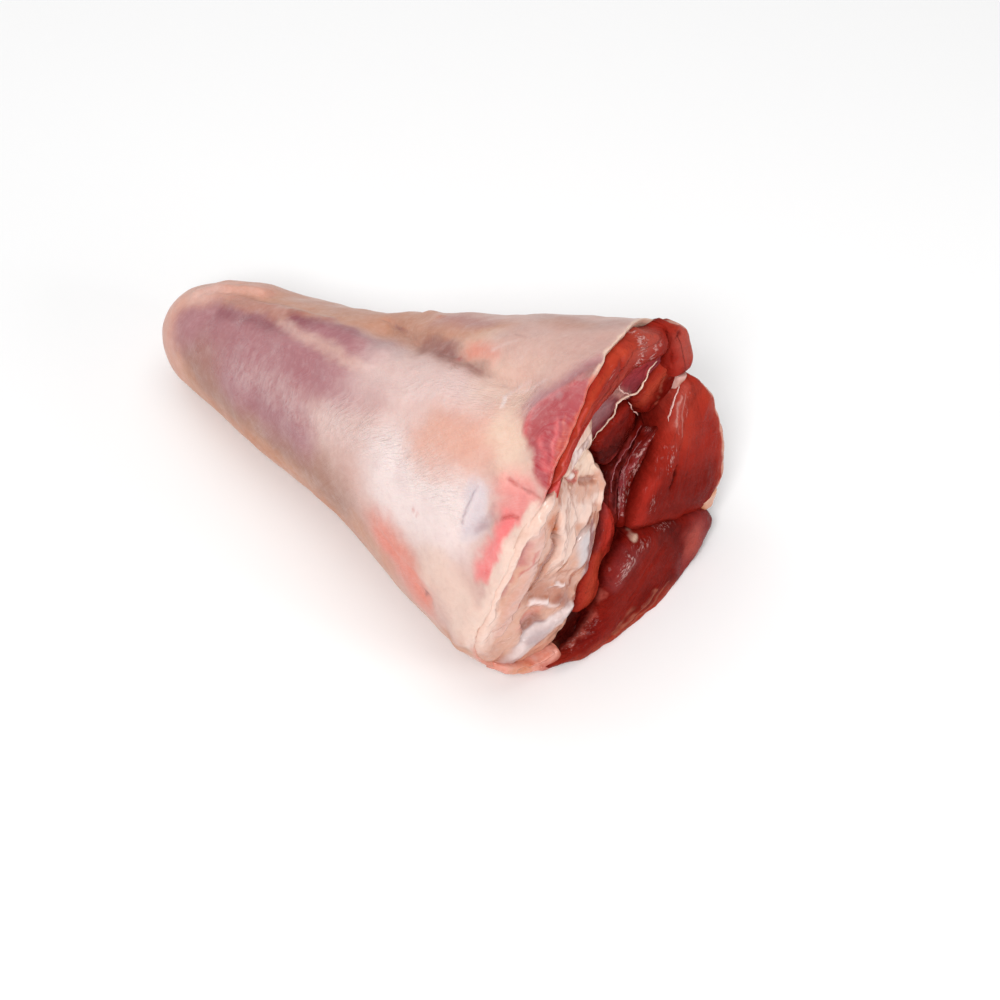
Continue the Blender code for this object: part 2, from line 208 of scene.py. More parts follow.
# Shank to frame, in metres: the axis leans, the underside is pressed flat, the box is centred.
def layDown(points):
    x, y, z = points[..., 0], points[..., 1], points[..., 2]
    lean, sag = math.radians(shank["lean"]), shank["sag"]
    height = x * math.sin(lean) + z * math.cos(lean) + shank["axisHeight"]
    pressed = np.where(height > sag, height, np.maximum(height + sag, 0) ** 2 / (4 * sag))
    across, aside = shank["place"]
    return np.stack([x * math.cos(lean) - z * math.sin(lean) + across, y + aside, pressed], -1) * mm


# Unit normals of a grid whose rows are closed, by the cross product of its slopes, turned outwards.
def gridNormals(points, middle):
    wide = np.concatenate([points[:, -1:], points, points[:, :1]], 1)
    normal = np.cross(np.gradient(points, axis=0), np.gradient(wide, axis=1)[:, 1:-1])
    normal = normal / (np.linalg.norm(normal, axis=-1, keepdims=True) + 1e-12)
    return normal * (1 if ((points - middle) * normal).sum() > 0 else -1)


# Piece of closed shells: rings of points with a fan to a pole at each end, faces outwards.
def closedMesh(name, *shells):
    places, faces, gathered = [], [], {}
    for points, values, start, stop in shells:
        rows, columns = points.shape[:2]
        poles = np.stack([points[0].mean(0) if start is None else np.array(start, float),
                          points[-1].mean(0) if stop is None else np.array(stop, float)])
        spots = layDown(np.concatenate([points.reshape(-1, 3), poles]))
        row, column = np.meshgrid(np.arange(rows - 1), np.arange(columns), indexing="ij")
        beside = (column + 1) % columns
        quads = np.stack([row * columns + column, row * columns + beside,
                          (row + 1) * columns + beside, (row + 1) * columns + column], -1).reshape(-1, 4)
        ring, last = np.arange(columns), (rows - 1) * columns
        after = (ring + 1) % columns
        fans = np.concatenate([np.stack([rows * columns + 0 * ring, after, ring], -1),
                               np.stack([rows * columns + 1 + 0 * ring, last + ring, last + after], -1)])
        a, b, c, d = (spots[quads[:, k]] for k in range(4))
        if (np.cross(a, b) * c).sum() + (np.cross(a, c) * d).sum() < 0:     # inside out
            quads, fans = quads[:, ::-1], fans[:, ::-1]
        before = sum(len(spot) for spot in places)
        places.append(spots)
        faces += (quads + before).tolist() + (fans + before).tolist()
        for label, value in values.items():
            ended = np.concatenate([value.reshape(-1, 3), value[[0, -1]].mean(1)])
            gathered.setdefault(label, []).append(ended)
    mesh = bpy.data.meshes.new(name)
    mesh.from_pydata(np.concatenate(places).tolist(), [], faces)
    mesh.shade_smooth()
    for label, parts in gathered.items():
        value = np.concatenate(parts)
        if label == "place":
            mesh.attributes.new(label, "FLOAT_VECTOR", "POINT").data.foreach_set("vector", value.ravel())
        else:
            full = np.column_stack([np.clip(value, 0, 1), np.ones(len(value))])
            mesh.attributes.new(label, "FLOAT_COLOR", "POINT").data.foreach_set("color", full.ravel())
    piece = bpy.data.objects.new(name, mesh)
    bpy.context.scene.collection.objects.link(piece)
    return piece


# A colour moved towards a named tone by a share of the way.
def blend(colour, tone, share):
    return colour + (linear(tone) - colour) * share[..., None]


# Named tones blended over a colour along paths: (tone, amount, half width, softness, path).
def paint(colour, points, strokes, resolve=list):
    for tone, amount, halfWidth, soft, path in strokes:
        colour = blend(colour, tone, amount * stroke(points, resolve(path), halfWidth, soft))
    return colour


# A path of (along, angle) as points on the skin, close enough together to follow its curve.
def skinWay(path):
    steps = np.linspace(0, 1, 4 * len(path))             # four to each point
    spots = smoothPath(path, steps) if len(path) > 1 else np.repeat(path, 2, 0)
    return onSkin(spots[:, 0], spots[:, 1])


skin = {
    "rows": 262, "columns": 332, "rowCrowding": 1.08,
    "startAngle": 270.0, "seenFrom": (35, 225), "seenDensity": 1.0,     # finer where the camera looks
    "seenEase": 25,                                                     # degrees
    "waves": [(15, 0.42, 11), (6, 0.16, 12), (2.4, 0.05, 13)],          # (size, rise, seed)
    "ruffle": (3.4, 0.54, 14),                                          # of the rim, in the same order
    "tipEase": 8, "rimEase": (0.98, 1), "rimCalm": 0.5,      # waves and folds fade at the tip and the rim
    # rings of the hollow: (inset from the rim, scale, share of the way down to the floor)
    "hollow": [(0.5, 1, 0.01), (1.1, 1, 0.03), (2, 1, 0.08), (3, 1, 0.14), (4.5, 1, 0.22), (6.5, 1, 0.32),
               (8.5, 1, 0.42), (10.5, 1, 0.54), (12, 1, 0.7), (13, 1, 0.86), (14, 1, 0.95), (14, 0.85, 1),
               (14, 0.7, 1), (14, 0.55, 1), (14, 0.4, 1), (14, 0.25, 1), (14, 0.1, 1)],
    "skinRings": 2,                                          # rings of the hollow that the skin still covers
    "floor": -11.0, "jointFloor": -19.0, "jointSide": (142, 236), "jointEase": 12,
    "wander": (7.0, 1.5, 21), "fineWander": (1.6, 0.5, 31),  # of the fields: (size, amount, seed)
    "lineWander": (4, 0.35, 51), "foldWander": (3, 0.5, 41), "rimWander": (1.8, 0.5, 71),
    "base": "paleSkin",
    # patches away from the seen side: its middle, the cosines where they end, their size and seed,
    # and (tone, amount, sign and range of the noise)
    "seenAngle": 130, "unseen": (-0.35, 0.25), "patches": (16, 61),
    "patchTones": [("mauve", 0.55, 1, -0.1, 0.7), ("cream", 0.5, -1, 0.1, 0.7)],
    # (tone, amount, half width, softness, path of (along, angle))
    "fields": [
        ("rosySkin", 0.8, 12, 12, [(0, 90), (8, 90), (14, 150)]),
        ("tanSkin", 0.75, 9, 8, [(12, 60), (40, 55), (70, 50)]),
        ("tanSkin", 0.85, 4.5, 3, [(20, 84), (38, 84), (62, 80), (72, 74)]),
        ("knob", 0.9, 3.6, 2.5, [(14, 84), (22, 80), (30, 74)]),
        ("tanSkin", 0.55, 9, 9, [(60, 40), (100, 30), (136, 30)]),
        ("tanSkin", 0.6, 12, 10, [(10, 250), (60, 240), (110, 235)]),
        ("mauve", 0.55, 12, 10, [(20, 300), (60, 320), (110, 330)]),
        ("rosySkin", 0.5, 14, 10, [(60, 280), (110, 275), (136, 270)]),
        ("mauve", 0.95, 8.5, 5, [(22, 124), (40, 120), (60, 120), (74, 122)]),
        ("mauve", 0.8, 8, 5, [(18, 136), (40, 146), (60, 152)]),
        # the underside, browner and darker towards the table: partly its own colour, partly painted shade
        ("brownSkin", 0.8, 8, 7, [(24, 165), (45, 170), (62, 176), (78, 184)]),
        ("mauve", 0.5, 4, 4, [(40, 155), (54, 160), (62, 165)]),
        ("warmEdge", 0.85, 6, 4, [(14, 186), (28, 200), (51, 196), (74, 200)]),
        ("warmEdge", 0.7, 6, 5, [(78, 204), (96, 206), (112, 208)]),
        ("deepMauve", 0.75, 2.4, 2.2, [(26, 107), (36, 107), (46, 107), (52, 105)]),
        ("deepMauve", 1.0, 2.7, 1.8, [(48, 96), (58, 99), (68, 102)]),
        ("mauve", 0.8, 4, 3, [(60, 104), (72, 104), (78, 101)]),
        ("greyMauve", 0.85, 2.6, 2, [(78, 101), (83, 101)]),
        ("mauve", 0.55, 6, 5, [(57, 114), (68, 117), (78, 121), (86, 124)]),
        ("paleSkin", 0.85, 1.6, 1.4, [(46, 105), (57, 109), (69, 113), (78, 114), (88, 112)]),
        ("tanSkin", 0.5, 1.6, 1.4, [(24, 99), (40, 100), (46, 100)]),
        ("tanSkin", 0.8, 3, 2.4, [(48, 88), (62, 86), (72, 83)]),
        ("sheen", 0.2, 3.0, 3, [(46, 145), (54, 147), (62, 149)]),
        ("sheen", 0.5, 5.0, 4.8, [(72, 149), (80, 148), (92, 147)]),
        ("mauve", 0.95, 5.4, 5, [(38, 148), (50, 154), (64, 162)]),
        ("deepMauve", 0.3, 4.5, 4.5, [(50, 156), (60, 160)]),
        # partly painted shade on the underside
        ("brownSkin", 0.4, 4.5, 4.5, [(58, 175), (74, 186)]),
        ("peach", 0.6, 4, 3.5, [(6, 110), (9, 150), (13, 175)]),
        ("peach", 0.9, 3.8, 3, [(9, 104), (16, 91), (22, 85)]),
        ("sheen", 0.35, 2.6, 2.4, [(13, 94), (18, 89)]),
        ("white", 0.95, 9, 7, [(98, 150), (107, 152), (118, 150)]),
        ("white", 0.75, 6, 5, [(100, 164), (112, 166), (122, 162)]),
        ("sheen", 0.8, 7, 5, [(84, 108), (98, 113), (112, 116)]),
        ("sheen", 0.4, 6, 5, [(80, 124), (92, 126), (100, 128)]),
        ("peach", 0.9, 6.5, 5, [(108, 134), (118, 128), (124, 123)]),
        ("peach", 0.6, 5, 4, [(120, 132), (127, 126)]),
        ("tanSkin", 0.85, 6, 4, [(76, 72), (90, 77), (104, 80)]),
        ("brownSkin", 0.5, 3.2, 2.6, [(76, 82), (84, 85), (90, 87)]),
        # darker along the valley of the relief: partly its own colour, partly painted shade
        ("dusk", 0.85, 2.6, 2.2, [(89, 89), (94, 91), (98, 93)]),
        ("dusk", 0.95, 2.6, 2, [(94, 92), (102, 96), (108, 99)]),
        ("dusk", 0.6, 1.2, 1.2, [(106, 99), (113, 101), (119, 102)]),
        ("cream", 0.8, 5, 4, [(106, 88), (114, 90), (122, 88)]),
        ("salmon", 0.7, 2.4, 2.2, [(104, 90), (110, 92)]),
        ("dusk", 0.35, 3.6, 3.4, [(112, 62), (118, 65), (126, 66), (131, 61)]),
        ("tanSkin", 0.45, 3, 3, [(114, 66), (124, 68)]),
        ("mauve", 0.5, 3, 3, [(88, 70), (98, 72)]),
        ("paleSkin", 0.9, 7, 5, [(112, 82), (124, 84), (136, 78)]),
        ("rosySkin", 0.5, 5, 5, [(118, 104), (126, 108), (130, 106)]),
        ("cream", 0.5, 4, 3.6, [(114, 107), (122, 108)]),
        ("cream", 0.8, 5, 3, [(126, 120), (130, 126), (132, 132)]),
        ("mauve", 0.9, 3.4, 2.6, [(140, 84), (137, 92), (134, 100), (130, 106)]),
        ("dusk", 0.8, 2.0, 1.8, [(142, 84), (139, 91), (137, 98)]),
        ("pinkFlesh", 0.95, 3.2, 1.0, [(141, 96), (137, 104), (133, 110), (135, 117), (139, 120)]),
        ("pinkFlesh", 1.0, 3.4, 0.9, [(142, 104), (138, 114), (139, 121), (141, 127), (143, 131)]),
        ("redFlesh", 0.9, 1.5, 0.9, [(143, 100), (142, 110), (142.6, 120), (143, 130)]),
        ("blush", 0.5, 0.6, 0.6, [(134.6, 118), (137.4, 122), (140, 126.6), (142, 130.6)]),
        ("blush", 0.6, 0.5, 0.5, [(136.6, 112), (138.8, 117), (140.8, 123), (142.2, 128)]),
        ("salmon", 0.5, 0.5, 0.5, [(138.6, 108), (140.2, 114), (141.6, 121)]),
        ("salmon", 0.85, 5, 4.8, [(97, 180), (103, 184), (110, 190)]),
        ("warmEdge", 0.6, 4, 3, [(86, 190), (96, 194)]),
        ("oldBlood", 0.35, 1.0, 1, [(112, 188)]),
        ("ligament", 0.9, 6, 4, [(117, 178), (124, 182), (127, 190)]),
        ("warmEdge", 0.9, 4, 3, [(120, 202), (126, 204), (128, 198)]),
        ("brownSkin", 0.7, 2, 1.5, [(124.5, 200)]),
        ("blueWhite", 0.9, 3.4, 2, [(124, 145), (125, 151), (126, 156)]),
        ("greyMauve", 0.7, 1.5, 1.3, [(127, 156), (129, 154), (131, 151)]),
        ("blush", 0.6, 4, 3.5, [(133, 138), (137, 142), (136, 148)]),
        ("blush", 1.0, 2.8, 2, [(136, 153), (134, 158), (132.5, 164), (131, 168)]),
        ("redFlesh", 0.45, 1.1, 1, [(132, 166), (131, 169)]),
        ("ligament", 1.0, 1.5, 0.7, [(141, 144), (139.5, 149), (137, 157), (135.5, 164), (134, 172),
                                     (131.5, 180), (128, 190), (125, 197)])],
    # the same, moved about less
    "lines": [
        # the crease tone draws painted shade in the skin's creases
        ("crease", 0.95, 0.45, 0.35, [(70, 73), (76.5, 80), (80.4, 84), (84, 88)]),
        ("greyLine", 0.7, 0.28, 0.28, [(124, 143), (122.8, 151), (122, 158)]),
        ("redFlesh", 0.8, 0.45, 0.4, [(131, 152), (134.5, 148), (137.2, 147.5)]),
        ("redFlesh", 0.9, 0.45, 0.4, [(131.4, 136), (134, 137.5)]),
        ("redFlesh", 0.7, 0.35, 0.3, [(134, 137.5), (138.2, 138), (141.3, 139)]),
        ("crease", 0.7, 0.35, 0.3, [(136.5, 137.8), (138.5, 138.2)]),
        ("blood", 0.55, 0.5, 0.5, [(107, 162)]),
        ("blood", 0.45, 0.3, 0.3, [(108.3, 164), (108.6, 162)]),
        ("oldBlood", 0.6, 0.5, 0.5, [(112.8, 188), (111.7, 190)]),
        ("blood", 0.4, 0.7, 0.7, [(101, 96)]),
        ("blush", 0.35, 0.6, 0.6, [(137.2, 93), (135.5, 99), (132.7, 104), (130.3, 111), (131.4, 119)]),
        ("white", 0.8, 0.45, 0.4, [(121.4, 113), (121, 110), (120.4, 107.6)]),
        ("sheen", 0.8, 0.42, 0.4, [(120.8, 106), (121.6, 102), (123.4, 98.6)]),
        ("sheen", 0.7, 0.4, 0.4, [(122.4, 104.4), (125.6, 101), (128.4, 98)]),
        ("sheen", 0.6, 0.45, 0.4, [(109.2, 114), (110.2, 111), (112, 108.6)]),
        ("sheen", 0.6, 0.5, 0.45, [(109.2, 89), (111.4, 86), (113.6, 83)]),
        # painted shade in the creases of the valley
        ("crease", 0.4, 0.35, 0.35, [(96, 92.5), (104, 97), (112, 101), (118, 102.5)]),
        ("crease", 0.3, 0.3, 0.3, [(112, 80), (115, 81)])],
    # (tone, amount, width, from and to angle)
    "rimTones": [("warmEdge", 0.7, 0.5, -150, 22), ("cream", 0.85, 0.6, 26, 94),
                 # the orange-red rim from 90 to 128 degrees is partly a painted edge highlight
                 ("orangeEdge", 0.8, 0.4, 90, 128), ("redFlesh", 0.9, 0.7, 127, 143),
                 ("ligament", 0.95, 1.6, 140, 204), ("blushTissue", 0.8, 0.8, 200, 232),
                 # the near-black rim from 237 to 262 degrees is painted shade in the slot beside the joint
                 ("pit", 1.0, 1.2, 237, 262)],
    "edgeTone": "warmEdge", "rimSoft": 5, "rimLead": 40,     # degrees of fade, and of lead
    # below the rim: the cut's muscle tone near the lip, then painted shade darkening towards the hollow's
    # floor
    "cutTone": "deepMuscle", "cutDepth": (1.0, 7.0), "floorTone": "darkMuscle", "floorShadeDepth": (6.0, 12.0),
    # (amount, half width, softness, path)
    "gloss": [(1.0, 9, 8, [(30, 134), (60, 140), (92, 145), (118, 150)]),
              (0.9, 6, 5, [(130, 110), (136, 120), (142, 130)]),
              (0.7, 8, 6, [(100, 110), (126, 104)])],
    # masks of fine wrinkles, bumped and painted paler on their ridges as painted sheen
    "crinkleAcross": [(0.7, 4.5, 4.5, [(40, 138), (52, 142), (66, 146), (78, 148)])],
    "crinkleAlong": [(1.0, 5, 5, [(78, 140), (92, 143), (106, 146), (116, 148)]),
                     (0.6, 5, 4, [(96, 112), (110, 112), (126, 106)])],
    "leastRadius": 12,           # keeps the fine patterns from crowding at the ankle
    # relief strokes finer than the solid's: (rise, half width, path)
    "folds": [
        (-0.55, 0.7, [(70, 74), (76.5, 80), (81.4, 85), (86, 91)]),
        (0.25, 0.9, [(138.7, 88), (137.2, 93), (135.5, 99), (132.7, 104), (130.3, 111), (131.4, 119)]),
        (0.6, 1.5, [(141, 144), (137, 157), (134, 172), (128, 190), (124, 198)]),
        (-0.5, 0.8, [(131.4, 136), (135.4, 138), (138.2, 138), (141.3, 139)]),
        (0.8, 1.6, [(12, 92), (17, 84), (24, 79), (31, 74)]),
        (0.5, 1.2, [(16, 96), (26, 90), (40, 92), (58, 92)]),
        (0.7, 1.6, [(78, 58), (83, 66)]),
        (-0.5, 1.2, [(94, 92), (103, 96), (113, 101), (120, 102)]),
        (0.35, 0.8, [(124, 143), (123, 151), (122, 158)]),
        (-0.6, 1.4, [(126, 156), (129, 153), (131, 150)]),
        (0.5, 1.3, [(96, 176), (104, 180), (112, 182), (119, 184)]),
        (-0.7, 1.6, [(110, 190), (114, 189)]),
        (-0.7, 2.2, [(133, 165), (131, 172), (129, 180)]),
        (0.4, 1.0, [(46, 103), (57, 107), (69, 111), (80, 113)])],
}


# Angles of the columns: equal steps of a running sum of density, denser on the side that is seen.
def skinAngles():
    angle = skin["startAngle"] + np.linspace(0, 360, 721)            # every half degree
    low, high = skin["seenFrom"]
    span, soft = high - low, skin["seenEase"]
    dense = 1 + skin["seenDensity"] * plateau((angle - low) % 360, (0, soft), (span - soft, span))
    total = np.concatenate([[0], np.cumsum((dense[1:] + dense[:-1]) / 2)])
    share = np.arange(skin["columns"]) / skin["columns"]
    return np.radians(np.interp(share, total / total[-1], angle))


# Rings of the skin's reach plus waves and folds along the normal, from the ankle to the ruffled rim;
# then rings of the rim drawn in, scaled and sunk towards the floor of the hollow.
def skinPiece():
    degrees = np.degrees(skinAngles())
    turned = degrees % 360
    edge = shank["cutAt"] + smoothRing(shank["edge"], turned, 360)
    size, rise, seed = skin["ruffle"]
    edge = edge + rise * cloud(onSkin(edge, degrees), size, seed)
    share = (np.arange(1, skin["rows"] + 1) / skin["rows"])[:, None] ** skin["rowCrowding"]
    along = edge * share
    outer = onSkin(along, np.broadcast_to(degrees, along.shape))
    normal = gridNormals(outer, outer.mean(1, keepdims=True))
    lift = waves(outer, skin["waves"])
    moved = wander(outer, skin["foldWander"])
    for rise, halfWidth, path in skin["folds"]:
        lift = lift + rise * bell(moved, skinWay(path), halfWidth)
    calm = 1 - skin["rimCalm"] * ease(share, *skin["rimEase"])
    outer = outer + normal * (lift * ease(along, 0, skin["tipEase"]) * calm)[..., None]
    low, high = skin["jointSide"]
    side = plateau(turned, (low - skin["jointEase"], low), (high, high + skin["jointEase"]))
    floor = shank["cutAt"] + skin["floor"] + (skin["jointFloor"] - skin["floor"]) * side
    rim, reach = outer[-1], np.linalg.norm(outer[-1, :, 1:], axis=-1)
    rings = [outer]
    for inset, scale, sink in skin["hollow"]:
        inner = rim * [1, 0, 0] + rim * [0, 1, 1] * ((reach - inset) / reach * scale)[:, None]
        inner[:, 0] = rim[:, 0] + (floor - rim[:, 0]) * sink
        rings.append(inner[None])
    return np.concatenate(rings), along, degrees


# Patches on the unseen side, fields, lines and rim tones blended in turn, then the hollow's tones by
# depth, darker towards its floor as painted shade; masks of gloss and crinkles; and the skin unrolled, as the
# place of the fine patterns.
def skinValues(points, along, degrees):
    outer, inner = points[:len(along)], points[len(along):]
    moved = wander(wander(outer, skin["wander"]), skin["fineWander"])
    colour = np.broadcast_to(linear(skin["base"]), outer.shape)
    patches = cloud(outer, *skin["patches"])
    hidden = 1 - ease(np.cos(np.radians(degrees - skin["seenAngle"])), *skin["unseen"])
    for tone, amount, sign, low, high in skin["patchTones"]:
        colour = blend(colour, tone, amount * hidden * ease(sign * patches, low, high))
    colour = paint(colour, moved, skin["fields"], skinWay)
    colour = paint(colour, wander(outer, skin["lineWander"]), skin["lines"], skinWay)
    size, amount, seed = skin["rimWander"]
    toRim = (along[-1] - along) + amount * cloud(outer, size, seed)
    edging = np.broadcast_to(linear(skin["edgeTone"]), (len(degrees), 3))
    soft, lead = skin["rimSoft"], skin["rimLead"]
    for tone, amount, width, low, high in skin["rimTones"]:
        turned = (degrees - low + lead) % 360 - lead
        where = amount * plateau(turned, (-soft, soft), (high - low - soft, high - low + soft))
        fade = 1 - ease(toRim, width * 0.5, width * 1.5)
        colour = blend(colour, tone, fade * where)
        edging = blend(edging, tone, where)
    # painted shade: the hollow darkens with depth below the rim
    depth = outer[-1, :, 0] - inner[..., 0]
    lip, deep = ease(depth, *skin["cutDepth"])[..., None], ease(depth, *skin["floorShadeDepth"])[..., None]
    inside = edging * (1 - lip) + linear(skin["cutTone"]) * lip
    inside = inside * (1 - deep) + linear(skin["floorTone"]) * deep
    film = np.zeros(points.shape)
    for channel, key in enumerate(("gloss", "crinkleAcross", "crinkleAlong")):
        mask = sum(amount * stroke(moved, skinWay(path), halfWidth, soft)
                   for amount, halfWidth, soft, path in skin[key])
        film[:len(along), :, channel] = np.clip(mask, 0, 1)
    radius = np.maximum(np.linalg.norm(points[..., 1:], axis=-1), skin["leastRadius"])
    swept = np.radians(degrees) * radius
    place = np.stack([points[..., 0], swept, 0 * swept], -1)
    return {"tone": np.concatenate([colour, inside]), "film": film, "place": place}


skinPoints, skinAlong, skinDegrees = skinPiece()
skinObject = closedMesh("skin", (skinPoints, skinValues(skinPoints, skinAlong, skinDegrees), (0, 0, 0), None))
print("skin: shaped and painted,", len(skinObject.data.vertices), "points")


headShape = {                    # what all heads share, unless one says otherwise
    "rootAt": -17.0, "rootScale": 0.82,      # how deep a head is rooted, and how it narrows there
    "drop": 2.5, "wallRows": 9,              # from its edge down to the start of its dome; rings down a wall
    "shoulder": 0.5, "endFall": (9, 0.35),   # powers of its rounding across and at its ends
    "waves": [(8, 0.42, 3), (2.8, 0.17, 4), (1.1, 0.05, 5)],                # (size, rise, seed)
    "foldWander": (2.4, 0.5, 40), "wander": (3.2, 0.8, 60), "edgeWander": (3, 7, 80),
    "reliefFrom": (-9, -3), "endEase": 0.06,             # waves and folds begin here and fade at the ends
    # walls and floors are painted darker with depth below a head's edges: painted shade
    "wall": "darkMuscle", "wallShadeDepth": (1.0, 6.0), "floorTone": "darkMuscle", "floorShadeDepth": (2.5, 8),
    "skinEdge": ("peach", 0, 10, 36), "edgeEase": 6,     # tone, amount and degrees of its right shoulder
    "acrossLean": 0.3,                       # of the line that parts the grain's two sides
    "strokes": [], "folds": [], "paintedGlints": [],
}
